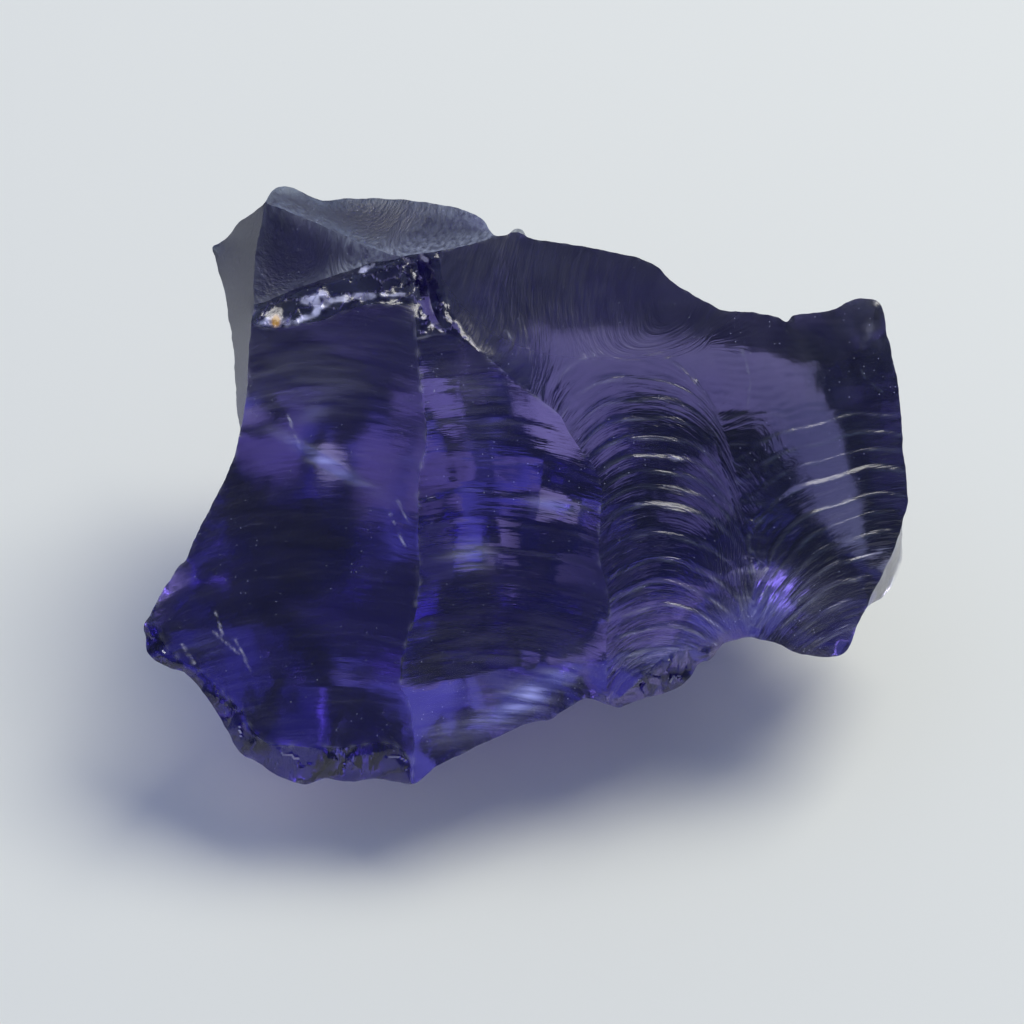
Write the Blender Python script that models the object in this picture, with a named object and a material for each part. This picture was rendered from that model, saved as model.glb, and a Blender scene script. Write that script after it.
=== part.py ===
"""Rough amethyst: one broken piece of clear purple quartz, 30 mm across, lying on its base facet.

The stone is drawn in a slanting frame that lies on its broad broken face: u runs to the right,
v runs up the face and w stands out of it, all in millimetres.  A front skin and a back skin, both
heights w over the (u, v) plane, meet along the rim.  Each skin has its ridges and steps as lines
of fixed height, and between them it hangs like a sheet whose pull makes a scar hollow or a flute
full.  The scars' conchoidal ripples are added last.  The frame is then tilted back, so that the
base facet lies level on z = 0.
"""
import math

import bpy
import numpy as np
from mathutils import Vector
from mathutils.geometry import delaunay_2d_cdt
from mathutils.kdtree import KDTree

MM = 0.001
FACE_TILT = math.radians(52.0)     # slope of the broad face against the floor's normal
BASE_DROP = 12.0                   # level of the base facet under the slanting frame's origin
CREASE_ANGLE = math.radians(28.0)  # sharper edges than this stay crisp

MERGE_DISTANCE = 1e-4              # points of two lines closer than this are one

NODE_NAME = "rough_amethyst"
VIOLET = (0.060, 0.048, 0.205, 1.0)
QUARTZ_IOR = 1.544

# ---------------------------------------------------------------------------------------------
# The rim, clockwise from the upper left tip: (u, v, w)
# ---------------------------------------------------------------------------------------------
LEFT_SHOULDER = (-10.35, 11.45, -2.0)
SADDLE = (-1.1, 10.1, -1.4)
RIGHT_WAIST = (15.1, -1.3, -3.0)
RIGHT_HEEL = (13.65, -4.7, -2.7)
NOTCH = (8.95, -5.85, -1.5)
STEP_RIGHT = (7.85, -6.15, -1.6)
STEP_LEFT = (3.3, -8.5, -1.6)
LOW_POINT = (-4.5, -11.65, -1.0)
LOW_LEFT = (-11.85, -9.55, -1.3)
LEFT_WAIST = (-11.3, 2.2, -0.5)
LEFT_CORNER = (-12.65, 9.85, -5.8)

TOP_RIM = [
    LEFT_SHOULDER, (-10.1, 12.0, -2.9), (-9.85, 12.15, -3.3), (-9.4, 12.15, -3.5),
    (-9.0, 12.0, -3.6), (-8.15, 11.65, -3.6), (-7.0, 11.7, -3.8), (-5.0, 11.7, -3.8),
    (-4.0, 11.55, -3.6), (-2.8, 11.35, -3.3), (-1.85, 10.95, -2.7), (-1.35, 10.3, -1.8), SADDLE,
    (-0.7, 10.15, -1.4), (-0.4, 10.4, -1.5), (-0.15, 10.35, -1.4), (0.1, 10.05, -1.2),
    (0.6, 9.9, -1.1), (2.2, 9.7, -0.9), (3.35, 9.45, -0.85), (5.0, 9.0, -0.7),
    (5.75, 8.35, -0.75), (6.55, 7.8, -0.8), (7.35, 7.35, -0.85), (7.8, 7.15, -0.9),
    (8.9, 7.05, -1.0), (10.0, 6.9, -1.2), (10.4, 6.7, -1.3), (10.65, 6.95, -1.4),
    (11.7, 7.05, -1.6), (12.45, 7.25, -1.8), (12.85, 7.5, -2.0), (13.25, 7.65, -2.2),
    (13.75, 7.65, -2.4), (14.1, 7.55, -2.5),
]
RIGHT_RIM = [
    (14.25, 7.25, -2.4), (14.45, 6.4, -2.5), (14.8, 4.7, -2.6), (15.0, 3.6, -2.7),
    (15.05, 2.4, -2.7), (15.25, 0.4, -2.9), (15.3, -0.5, -2.9), RIGHT_WAIST,
    (15.3, -2.05, -6.0), (15.3, -2.85, -6.6), (15.05, -3.65, -6.6), (14.55, -4.25, -5.8),
    RIGHT_HEEL, (13.3, -5.4, -2.6), (12.9, -6.3, -2.4), (12.6, -6.6, -2.4), (12.1, -6.65, -2.3),
    (10.75, -6.45, -1.9), (10.15, -6.15, -1.8), (9.25, -5.9, -1.6),
]
BOTTOM_RIM = [
    NOTCH, (8.25, -6.0, -1.5), STEP_RIGHT, (7.6, -6.45, -1.8), (7.35, -6.75, -1.9),
    (6.95, -6.9, -2.0), (6.6, -7.45, -2.2), (6.2, -7.8, -2.3), (5.6, -8.1, -2.4),
    (4.6, -8.35, -2.3), (3.8, -8.65, -2.0), STEP_LEFT, (2.6, -8.3, -1.3), (2.2, -8.35, -1.3),
    (1.4, -8.85, -1.4), (1.05, -9.1, -1.3), (0.2, -9.2, -1.1), (-1.0, -9.75, -0.9),
    (-2.4, -10.4, -0.75), (-3.5, -10.95, -0.7), (-3.85, -11.25, -0.8), LOW_POINT,
    (-5.75, -11.5, -1.5), (-7.15, -11.6, -1.6), (-7.95, -11.5, -1.7), (-8.85, -11.7, -1.8),
    (-9.75, -11.4, -1.7), (-10.75, -10.75, -1.6), (-11.35, -10.4, -1.5),
]
LEFT_RIM = [
    LOW_LEFT, (-12.1, -9.05, -1.2), (-12.7, -8.1, -1.0), (-13.55, -7.2, -1.0),
    (-14.1, -7.05, -1.0), (-14.9, -6.55, -1.0), (-15.1, -5.75, -1.1), (-15.15, -5.35, -1.1),
    (-14.85, -4.85, -1.0), (-14.3, -3.95, -0.8), (-13.7, -3.0, -0.7), (-13.5, -2.85, -0.65),
    (-13.15, -2.05, -0.6), (-12.2, -0.2, -0.5), (-11.65, 1.0, -0.5), LEFT_WAIST,
    (-11.4, 2.75, -2.0), (-11.6, 3.7, -3.9), (-11.75, 5.75, -4.8), (-12.1, 7.8, -5.5),
    (-12.55, 9.45, -5.8), LEFT_CORNER, (-12.35, 10.0, -5.7), (-12.0, 10.25, -5.3),
    (-11.6, 10.7, -4.7), (-10.95, 11.1, -3.2),
]
RIM = TOP_RIM + RIGHT_RIM + BOTTOM_RIM + LEFT_RIM

# ---------------------------------------------------------------------------------------------
# Ridges, valleys and steps of the front skin
# ---------------------------------------------------------------------------------------------
LEDGE_LEFT_FOOT = (-10.85, 6.65, -0.8)
LEDGE_LEFT_TOP = (-10.8, 7.4, -1.6)
LEDGE_RIGHT_FOOT = (-4.4, 7.3, -0.5)
LEDGE_RIGHT_TOP = (-4.5, 8.95, -1.5)
STONE_HEAD = (-4.95, 9.3, -1.5)
SCAR_CORNER = (-1.8, 5.45, 0.0)
FLUTE_HEAD = (3.05, -0.5, -0.3)
BEVEL_LEFT = (-11.3, -8.7, -0.9)
CHIP_TOP = (-3.4, 9.5, -1.3)
CHIP_FOOT = (-3.1, 6.2, -0.15)

FRONT_LINES = {
    "left edge": [
        LEFT_WAIST, (-11.05, 3.55, -0.5), (-10.95, 4.95, -0.5), LEDGE_LEFT_FOOT, LEDGE_LEFT_TOP,
        (-10.8, 8.55, -1.9), (-10.7, 9.6, -2.0), LEFT_SHOULDER],
    "right edge": [
        RIGHT_WAIST, (14.85, -2.2, -3.0), (14.6, -2.8, -3.0), (13.95, -4.0, -2.8), RIGHT_HEEL],
    "top facet's lower edge": [
        LEFT_SHOULDER, (-8.9, 10.9, -1.95), (-7.35, 10.2, -1.85), (-6.1, 9.65, -1.7), STONE_HEAD],
    "top facet's right edge": [
        STONE_HEAD, (-4.1, 9.4, -1.35), CHIP_TOP, (-2.2, 9.75, -1.35), SADDLE],
    "ledge's foot": [
        LEDGE_LEFT_FOOT, (-10.1, 6.4, -0.45), (-9.3, 6.55, -0.25), (-8.1, 6.7, -0.15),
        (-7.1, 7.15, -0.15), (-5.7, 7.35, -0.2), LEDGE_RIGHT_FOOT],
    "ledge's top": [
        LEDGE_LEFT_TOP, (-10.1, 7.6, -1.7), (-9.3, 7.95, -1.8), (-7.55, 8.55, -1.8),
        (-6.1, 9.05, -1.75), (-5.2, 9.2, -1.6), STONE_HEAD],
    "chip's left edge": [
        STONE_HEAD, LEDGE_RIGHT_TOP, (-4.4, 7.95, -0.9), LEDGE_RIGHT_FOOT],
    "shoulder": [
        LEDGE_RIGHT_FOOT, (-4.35, 6.7, -0.25), (-4.3, 6.0, -0.05)],
    "chip's trough": [
        (-4.0, 9.1, -1.75), (-3.85, 7.9, -1.35), (-3.6, 7.0, -0.8), CHIP_FOOT],
    "chip's right edge": [
        CHIP_TOP, (-3.2, 7.9, -0.9), (-2.7, 6.7, -0.45), SCAR_CORNER],
    "long ridge": [
        (-4.3, 6.0, -0.05), (-4.15, 4.35, 0.2), (-3.9, 1.95, 0.35), (-4.2, 0.5, 0.4),
        (-4.2, -3.45, 0.3), (-4.3, -4.8, 0.2), (-4.65, -5.85, 0.1), (-4.95, -7.65, -0.1),
        (-4.6, -8.4, -0.2), (-4.4, -10.05, -0.5), LOW_POINT],
    "scar's upper edge": [
        (-4.3, 6.0, -0.05), CHIP_FOOT, (-2.5, 5.9, -0.1), SCAR_CORNER,
        (-0.2, 4.2, 0.1), (1.4, 2.9, 0.0), (1.75, 2.2, -0.05), (2.95, 0.5, -0.2), FLUTE_HEAD],
    "flute's left edge": [
        FLUTE_HEAD, (2.95, -1.65, -0.4), (2.95, -2.6, -0.5), (3.4, -4.65, -0.7),
        (3.25, -5.9, -0.8), (3.25, -8.0, -1.1), STEP_LEFT],
    "valley": [
        (6.75, 4.25, -0.45), (7.1, 3.55, -0.60), (7.4, 2.35, -0.8), (7.95, 0.4, -1.05),
        (8.3, -0.8, -1.1), (9.0, -2.8, -1.3), (9.15, -3.5, -1.35), (9.0, -4.35, -1.4), NOTCH],
    "bottom bevel": [
        LOW_LEFT, BEVEL_LEFT, (-10.7, -9.7, -0.75), (-10.1, -10.05, -0.7),
        (-8.9, -10.15, -0.65), (-7.3, -10.2, -0.65), (-5.5, -10.0, -0.55), (-4.6, -10.7, -0.65),
        LOW_POINT],
    "left bevel": [
        BEVEL_LEFT, (-12.1, -7.85, -0.75), (-13.0, -7.1, -0.7), (-14.1, -6.4, -0.75),
        (-14.6, -5.5, -0.8), (-14.75, -4.95, -0.9), (-14.3, -3.95, -0.8)],
    "broken step": [
        STEP_LEFT, (3.95, -8.1, -1.1), (4.75, -7.35, -1.15), (5.35, -6.75, -1.2),
        (6.15, -6.4, -1.25), (6.95, -6.25, -1.3), STEP_RIGHT],
}

# A point inside each front patch, and the pull that makes it hollow (+) or full (-), in 1/mm
FRONT_PATCHES = {
    "left bowl": ((-8.0, 0.0), 0.075),
    "scar": ((0.0, -2.0), 0.085),
    "scar foot": ((-0.4, -8.4), 0.085),
    "flute head": ((4.4, 3.6), -0.030),
    "flute": ((5.5, -2.0), -0.120),
    "flute foot": ((6.2, -5.8), -0.120),
    "right lobe": ((12.0, -1.0), -0.050),
    "lobe foot": ((11.0, -5.2), -0.050),
    "upper facet": ((4.0, 6.8), 0.015),
    "ledge": ((-8.0, 7.5), -0.10),
    "recess": ((-8.8, 9.3), 0.10),
    "recess foot": ((-6.8, 8.95), 0.10),
    "top facet": ((-6.0, 11.0), 0.55),
    "top facet foot": ((-4.6, 9.9), 0.55),
    "chip left": ((-4.2, 8.0), 0.0),
    "chip right": ((-3.5, 8.2), 0.0),
    "left flank": ((-11.3, 7.0), 0.0),
    "right flank": ((15.1, -2.8), 0.0),
    "bottom bevel": ((-8.0, -10.9), 0.05),
    "left bevel": ((-14.6, -6.5), 0.0),
    "broken step": ((5.6, -7.4), 0.30),
}

# ---------------------------------------------------------------------------------------------
# The back skin: the base facet and the ridges around it
# ---------------------------------------------------------------------------------------------
def base_depth(v):
    """Depth of the level plane that carries the base facet, at height v on the face."""
    return -(BASE_DROP + v * math.cos(FACE_TILT)) / math.sin(FACE_TILT)


def on_base(u, v):
    """A point of the base facet."""
    return (u, v, base_depth(v))


BASE_LEFT = on_base(-9.0, -5.2)
BASE_UPPER_LEFT = on_base(-6.8, -3.7)
BASE_TOP = on_base(-4.4, -3.2)
BASE_GROOVE = on_base(0.6, -3.2)
BASE_RIGHT = on_base(3.4, -4.6)
BASE_LOW_RIGHT = on_base(2.4, -5.7)
BASE_LOW_LEFT = on_base(-7.6, -6.4)
BASE_OUTLINE = [
    BASE_LEFT, BASE_UPPER_LEFT, BASE_TOP, on_base(-1.6, -3.1), BASE_GROOVE, BASE_RIGHT,
    BASE_LOW_RIGHT, on_base(0.0, -6.3), on_base(-4.0, -6.6), BASE_LOW_LEFT,
]

BACK_CORNER = (-9.8, 7.9, -8.0)
CREST_MIDDLE = (-2.8, 3.7, -12.9)
CREST_GROOVE = (0.4, 6.0, -9.4)
CREST_RIGHT = (9.3, 5.6, -8.2)
CREST_STRIPE = (11.2, 5.0, -7.8)
CREST_END = (13.2, 5.6, -5.4)
HEEL = (13.3, -3.4, -6.4)
GROOVE_TOP = (1.6, 3.4, -9.4)
SHELF_RIGHT = (10.2, 2.8, -9.3)
RIB_FOOT = (11.0, -0.4, -9.0)
SHELF_MIDDLE = (7.0, 3.2, -9.8)
LOW_RIB_MIDDLE = (8.4, -1.8, -10.2)
CHIN_LEFT = (-11.0, -5.5, -7.4)
CHIN_FRONT_RIB = (-7.8, -7.6, -7.0)
CHIN_LOW_RIB = (3.3, -6.3, -5.6)

BACK_LINES = {
    "base facet": BASE_OUTLINE + [BASE_LEFT],
    "crest": [
        LEFT_CORNER, BACK_CORNER, (-5.8, 4.9, -11.5), CREST_MIDDLE,
        CREST_GROOVE, (2.4, 6.1, -8.6), (6.2, 5.9, -8.4), CREST_RIGHT, CREST_STRIPE,
        CREST_END, (14.45, 6.4, -2.5)],
    "upper rib": [CREST_MIDDLE, (-1.9, 7.2, -9.4), (-1.2, 9.2, -4.8), (-0.7, 10.15, -1.4)],
    "corner rib": [CREST_END, (13.75, 6.8, -4.6), (14.1, 7.55, -2.5)],
    "keel": [CREST_MIDDLE, (-3.3, 2.2, -13.6), (-3.7, 0.0, -13.8), BASE_TOP],
    "shelf": [CREST_GROOVE, GROOVE_TOP, (4.2, 3.4, -10.0), SHELF_MIDDLE, SHELF_RIGHT],
    "third keel": [
        SHELF_MIDDLE, (7.6, 1.4, -12.2), (8.4, 0.2, -12.4), (8.6, -1.0, -11.4), LOW_RIB_MIDDLE],
    "groove": [GROOVE_TOP, (1.0, 1.6, -8.8), (0.6, -0.6, -9.2), BASE_GROOVE],
    "second keel": [
        (4.2, 3.4, -10.0), (4.9, 2.2, -12.2), (5.2, 0.4, -12.8), (5.0, -2.4, -12.6), BASE_RIGHT],
    "right rib": [CREST_RIGHT, SHELF_RIGHT, RIB_FOOT, (11.9, -1.9, -7.8), HEEL],
    "stripe": [
        CREST_STRIPE, (12.1, 2.4, -8.8), (12.8, 0.0, -8.4), (13.1, -1.8, -7.6), HEEL],
    "spur": [HEEL, (15.3, -2.85, -6.6)],
    "heel rib": [HEEL, (13.2, -5.0, -4.4), (12.6, -6.6, -2.4)],
    "low right rib": [BASE_RIGHT, (5.5, -3.4, -11.4), LOW_RIB_MIDDLE, RIB_FOOT],
    "chin": [
        CHIN_LEFT, (-9.4, -7.0, -7.2), CHIN_FRONT_RIB, (-4.6, -7.6, -5.2), (-2.2, -7.3, -2.7),
        (0.0, -6.9, -3.3), (1.6, -6.7, -4.0), CHIN_LOW_RIB, (5.6, -4.5, -6.8), (8.6, -3.0, -5.0),
        (11.2, -3.1, -5.6), HEEL],
    "low rib": [BASE_LOW_RIGHT, CHIN_LOW_RIB, (4.6, -7.4, -4.1), (5.6, -8.1, -2.4)],
    "front rib": [BASE_LOW_LEFT, CHIN_FRONT_RIB, (-8.0, -10.4, -3.4), (-7.95, -11.5, -1.7)],
    "left keel": [BASE_LEFT, CHIN_LEFT, (-13.1, -5.6, -4.0), (-15.1, -5.75, -1.1)],
}

BACK_PATCHES = {
    "base": ((-2.0, -4.8), 0.0),
    "upper left": ((-6.0, 9.4), 0.02),
    "upper right": ((5.0, 7.6), 0.03),
    "window": ((4.0, 4.6), 0.0),
    "back left": ((-7.8, 2.0), 0.02),
    "back middle": ((-1.4, 1.0), 0.02),
    "back right": ((3.0, 0.0), 0.02),
    "far right": ((6.4, 0.6), 0.02),
    "rib flank": ((9.8, 0.8), 0.02),
    "stripe": ((11.9, 1.2), 0.0),
    "right end": ((14.4, 1.0), 0.03),
    "low right": ((9.0, -4.4), 0.0),
    "low front": ((-1.5, -8.6), 0.0),
    "low left": ((-10.5, -8.6), 0.0),
    "undercut": ((7.2, -2.8), 0.0),
}

# ---------------------------------------------------------------------------------------------
# Conchoidal ripples: arcs that march across a patch, each with a short steep side
# ---------------------------------------------------------------------------------------------
# arcs: distance marched where each ripple starts, and its height
FLUTE_ARCS = (
    (0.0, 0.060), (1.1, 0.050), (2.0, 0.060), (2.7, 0.080), (3.5, 0.090), (4.25, 0.130),
    (4.9, 0.080), (5.5, 0.085), (6.15, 0.140), (7.3, 0.080), (8.4, 0.090), (9.3, 0.080),
    (10.2, 0.080), (11.0, 0.070), (11.9, 0.070), (12.7, 0.0))
LOBE_ARCS = (
    (0.0, 0.080), (0.7, 0.060), (1.4, 0.050), (2.1, 0.130), (3.2, 0.100), (3.9, 0.060),
    (4.7, 0.090), (5.5, 0.070), (6.3, 0.070), (7.2, 0.060), (8.2, 0.060), (9.3, 0.0))
SCAR_ARCS = (
    (0.0, 0.040), (1.5, 0.045), (3.1, 0.050), (4.4, 0.070), (5.6, 0.050), (6.7, 0.070),
    (7.9, 0.045), (9.3, 0.040), (10.8, 0.050), (12.2, 0.045), (13.5, 0.0))
BOWL_ARCS = (
    (0.0, 0.030), (2.3, 0.040), (4.5, 0.050), (7.0, 0.045), (9.2, 0.035), (11.6, 0.040),
    (14.2, 0.035), (16.8, 0.0))
BACK_ARCS = (
    (0.0, 0.10), (1.7, 0.12), (3.1, 0.11), (4.9, 0.14), (6.4, 0.12), (8.3, 0.14), (9.9, 0.10),
    (11.8, 0.0))
CHIN_ARCS = (
    (0.0, 0.06), (1.1, 0.08), (2.0, 0.06), (3.1, 0.08), (4.0, 0.06), (5.2, 0.0))
# patches, apex of the first arc (u, v), sideways drift of the apex, radius there, change of the
# radius for each mm marched, least radius, arcs
FRONT_RIPPLES = [
    (("flute", "flute head", "flute foot"), (3.8, 5.77), 1.7, 3.75, 0.0, 1.5, FLUTE_ARCS),
    (("right lobe", "lobe foot"), (14.8, 3.16), 0.0, 13.0, -1.70, 6.0, LOBE_ARCS),
    (("scar", "scar foot"), (-1.5, 4.5), 0.0, 13.0, 0.0, 5.0, SCAR_ARCS),
    (("left bowl",), (-8.0, 6.5), 0.0, 11.0, 0.3, 5.0, BOWL_ARCS),
]
BACK_RIPPLES = [
    (("back left",), (-8.0, 6.5), 0.0, 7.0, 0.4, 3.0, BACK_ARCS),
    (("back middle",), (-1.0, 5.5), 0.0, 9.0, 0.4, 3.0, BACK_ARCS),
    (("back right",), (3.0, 5.5), 0.0, 9.0, 0.4, 3.0, BACK_ARCS),
    (("far right", "rib flank"), (8.0, 5.5), 0.0, 9.0, 0.4, 3.0, BACK_ARCS),
    (("low front",), (-1.5, -6.8), 0.0, 8.0, 0.3, 3.0, CHIN_ARCS),
    (("low left",), (-10.0, -6.0), 0.0, 8.0, 0.3, 3.0, CHIN_ARCS),
    (("low right",), (8.5, -2.6), 0.0, 6.0, 0.3, 3.0, CHIN_ARCS),
]
# dents that go into the back: patch, middle (u, v), half width and half height, depth
BACK_DENTS = [
    ("back left", (-6.4, 1.0), (1.5, 1.5), 2.1),
    ("back middle", (-2.3, -2.4), (1.3, 1.0), 2.2),
    ("back right", (2.6, -0.75), (1.4, 0.70), 1.9),
]
DRIFT_LENGTH = 3.0      # distance marched in which an apex drifts most of its way
STEEP_SHARE = 0.24      # part of each ripple that is its steep side
RIPPLE_FADE = 0.45      # width over which a ripple dies out towards a ridge
RIPPLE_ZONE = (2.6, 5.2, -8.6)   # the finely rippled ground: right of this u, below, above these v
FINE_SPACING = 0.32     # point distance there


def ripple_profile(phase):
    """Height from 0 to 1 over one ripple: a short rise, then a long fall."""
    share = phase - np.floor(phase)
    rise = np.clip(share / STEEP_SHARE, 0.0, 1.0)
    fall = np.clip((share - STEEP_SHARE) / (1.0 - STEEP_SHARE), 0.0, 1.0)
    return (1.0 - np.cos(math.pi * rise)) / 2.0 - (1.0 - np.cos(math.pi * fall)) / 2.0


def marched_distance(u, v, apex, drift, radius, growth, least):
    """How far below the first arc's apex the arc through each point has marched."""
    marched = apex[1] - v
    for _ in range(5):
        reach = np.maximum(radius + growth * marched, least)
        middle = apex[0] + drift * (1.0 - np.exp(-np.maximum(marched, 0.0) / DRIFT_LENGTH))
        side = np.clip((u - middle) / reach, -0.95, 0.95)
        marched = apex[1] - v - reach * (1.0 - np.sqrt(1.0 - side * side))
    return marched


def ripples(u, v, apex, drift, radius, growth, least, arcs):
    """Ripple heights at the given points, uneven along the arcs."""
    marks, heights = np.array(arcs).T
    marched = marched_distance(u, v, apex, drift, radius, growth, least)
    marched = marched + 0.07 * np.sin(1.9 * u + 0.7 * v)
    phase = np.interp(marched, marks, np.arange(len(marks)))
    strength = 0.8 + 0.2 * np.sin(1.3 * np.floor(phase) + 0.8 * u)
    return heights[phase.astype(int)] * strength * ripple_profile(phase)


def dent(places, middle, size, depth):
    """Depth of a round or oval dent at the given points."""
    return depth * np.exp(-(((places - np.array(middle)) / size) ** 2).sum(axis=1))


# ---------------------------------------------------------------------------------------------
# A skin: lines, lattice, triangles and heights
# ---------------------------------------------------------------------------------------------
def smooth_line(points, size_of, closed=False):
    """Points along a smooth curve through the given ones, as far apart as `size_of` asks."""
    path = np.array(points, dtype=float)
    before = np.roll(path, 1, axis=0) if closed else np.vstack([path[:1], path[:-1]])
    after = np.roll(path, -1, axis=0) if closed else np.vstack([path[1:], path[-1:]])
    reach = np.linalg.norm(path - before, axis=1) + np.linalg.norm(after - path, axis=1)
    tangent = (after - before) / reach[:, None]
    line = []
    for index in range(len(path) if closed else len(path) - 1):
        start, end = path[index], after[index]
        length = np.linalg.norm((end - start) * (1.0, 1.0, 0.3))
        steps = max(1, round(length / size_of(*((start + end) / 2.0)[:2])))
        span = np.linalg.norm(end - start)
        pull, push = tangent[index] * span, tangent[(index + 1) % len(path)] * span
        for share in np.arange(steps) / steps:
            line.append(hermite(start, end, pull, push, share))
    if not closed:
        line.append(path[-1])
    return line


def hermite(start, end, pull, push, share):
    """A point of the cubic curve from start to end with the given end tangents."""
    square, cube = share * share, share ** 3
    return ((2 * cube - 3 * square + 1) * start + (cube - 2 * square + share) * pull
            + (3 * square - 2 * cube) * end + (cube - square) * push)


def inside_rim(points, rim):
    """True for each point that lies inside the closed rim."""
    inside = np.zeros(len(points), dtype=bool)
    for (u0, v0), (u1, v1) in zip(rim, np.roll(rim, -1, axis=0)):
        crosses = (v0 > points[:, 1]) != (v1 > points[:, 1])
        if v1 != v0:
            where = (u1 - u0) * (points[:, 1] - v0) / (v1 - v0) + u0
            inside ^= crosses & (points[:, 0] < where)
    return inside


def lattice(rim, line_points, finest, size_of):
    """A triangular lattice inside the rim, thinned where `size_of` asks for less."""
    low, high = rim.min(axis=0), rim.max(axis=0)
    rows = int((high[1] - low[1]) / (finest * math.sqrt(0.75))) + 2
    columns = int((high[0] - low[0]) / finest) + rows
    i, j = np.meshgrid(np.arange(-rows, columns), np.arange(rows))
    i, j = i.ravel(), j.ravel()
    points = np.column_stack([low[0] + (i + 0.5 * j) * finest, low[1] + j * finest * math.sqrt(0.75)])
    wanted = size_of(points[:, 0], points[:, 1])
    both = i | j
    spread = np.where(both == 0, 16, both & -both)
    points = points[(spread * finest > 0.7 * wanted) & inside_rim(points, rim)]
    wanted = size_of(points[:, 0], points[:, 1])
    tree = KDTree(len(line_points))
    for index, point in enumerate(line_points):
        tree.insert((point[0], point[1], 0.0), index)
    tree.balance()
    gap = np.array([tree.find((u, v, 0.0))[2] for u, v in points])
    return points[gap > 0.7 * wanted]


def plan_mesh(points, edges, grid, rim_count):
    """The triangles in plan, inside the rim, and the chords that cut its corners off."""
    plan = [Vector(point[:2]) for point in points] + [Vector(point) for point in grid]
    places, found_edges, triangles, sources, edge_sources = delaunay_2d_cdt(
        plan, edges, [], 0, MERGE_DISTANCE, True)[:5]
    for place, source in zip(places, sources):
        if not source:
            raise ValueError(f"two lines of a skin cross at {place[0]:.2f}, {place[1]:.2f}")
    known = np.array([min(source) for source in sources])
    places, triangles = np.array([tuple(place) for place in places]), np.array(triangles)
    rim = np.array([point[:2] for point in points[:rim_count]])
    triangles = triangles[inside_rim(places[triangles].mean(axis=1), rim)]
    kept = {tuple(sorted(edge)) for edge, source in zip(found_edges, edge_sources) if source}
    used = {tuple(sorted(pair)) for tri in triangles.tolist() for pair in zip(tri, tri[1:] + tri[:1])}
    chords = [pair for pair in used - kept if max(known[pair[0]], known[pair[1]]) < rim_count]
    return places, triangles, known, kept, chords


def triangulate(rim, lines, finest, size_of):
    """One skin's points and triangles in plan, with what is known of each point."""
    points = list(rim)
    edges = [(index, (index + 1) % len(rim)) for index in range(len(rim))]
    for line in lines:
        first = len(points)
        points += line
        edges += [(first + index, first + index + 1) for index in range(len(line) - 1)]
    grid = lattice(np.array(rim)[:, :2], points, finest, size_of)
    places, _, _, _, chords = plan_mesh(points, edges, grid, len(rim))
    grid = list(grid) + [places[list(chord)].mean(axis=0) for chord in sorted(chords)]
    places, triangles, known, kept, _ = plan_mesh(points, edges, grid, len(rim))
    fixed = known < len(points)
    heights = np.where(fixed, np.array(points)[np.minimum(known, len(points) - 1), 2], 0.0)
    rim_index = {source: index for index, source in enumerate(known.tolist()) if source < len(rim)}
    return places, triangles, heights, fixed, kept, rim_index


def patch_of_each(triangles, kept):
    """Number of the patch that each triangle belongs to; patches end at the kept edges."""
    sides = {}
    for index, (a, b, c) in enumerate(triangles.tolist()):
        for edge in ((a, b), (b, c), (c, a)):
            sides.setdefault((min(edge), max(edge)), []).append(index)
    joined = [[] for _ in range(len(triangles))]
    for edge, pair in sides.items():
        if len(pair) == 2 and edge not in kept:
            joined[pair[0]].append(pair[1])
            joined[pair[1]].append(pair[0])
    patch = np.full(len(triangles), -1)
    for start in range(len(triangles)):
        if patch[start] >= 0:
            continue
        patch[start] = start
        queue = [start]
        while queue:
            for other in joined[queue.pop()]:
                if patch[other] < 0:
                    patch[other] = start
                    queue.append(other)
    return patch


def share_among_seeds(places, triangles, fixed, patch, seeds):
    """For each point the weight of each named seed: only seeds in its own patch count."""
    patch_of_point = np.full(len(places), -1)
    patch_of_point[triangles.ravel()] = np.repeat(patch, 3)
    free = np.flatnonzero(~fixed)
    weights = np.zeros((len(seeds), len(places)))
    for row, (seed, _) in enumerate(seeds.values()):
        offsets = places - np.array(seed)
        nearest = free[np.argmin((offsets[free] ** 2).sum(axis=1))]
        own = (patch_of_point == patch_of_point[nearest]) & ~fixed
        weights[row, own] = 1.0 / (0.5 + (offsets[own] ** 2).sum(axis=1)) ** 2
    total = weights.sum(axis=0)
    return weights / np.where(total > 0.0, total, 1.0)


def corner_weights(places, triangles):
    """Half-edges with their cotangent weights, and each point's share of the area."""
    half_edges, weights = [], []
    area = np.zeros(len(places))
    for turn in range(3):
        a, b, c = np.roll(triangles, turn, axis=1).T
        to_a, to_b = places[a] - places[c], places[b] - places[c]
        cross = to_a[:, 0] * to_b[:, 1] - to_a[:, 1] * to_b[:, 0]
        half_edges.append(np.column_stack([a, b]))
        weights.append(0.5 * (to_a * to_b).sum(axis=1) / np.maximum(cross, 1e-9))
        area += np.bincount(c, np.abs(cross) / 6.0, len(places))
    return np.vstack(half_edges), np.concatenate(weights), area


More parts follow.
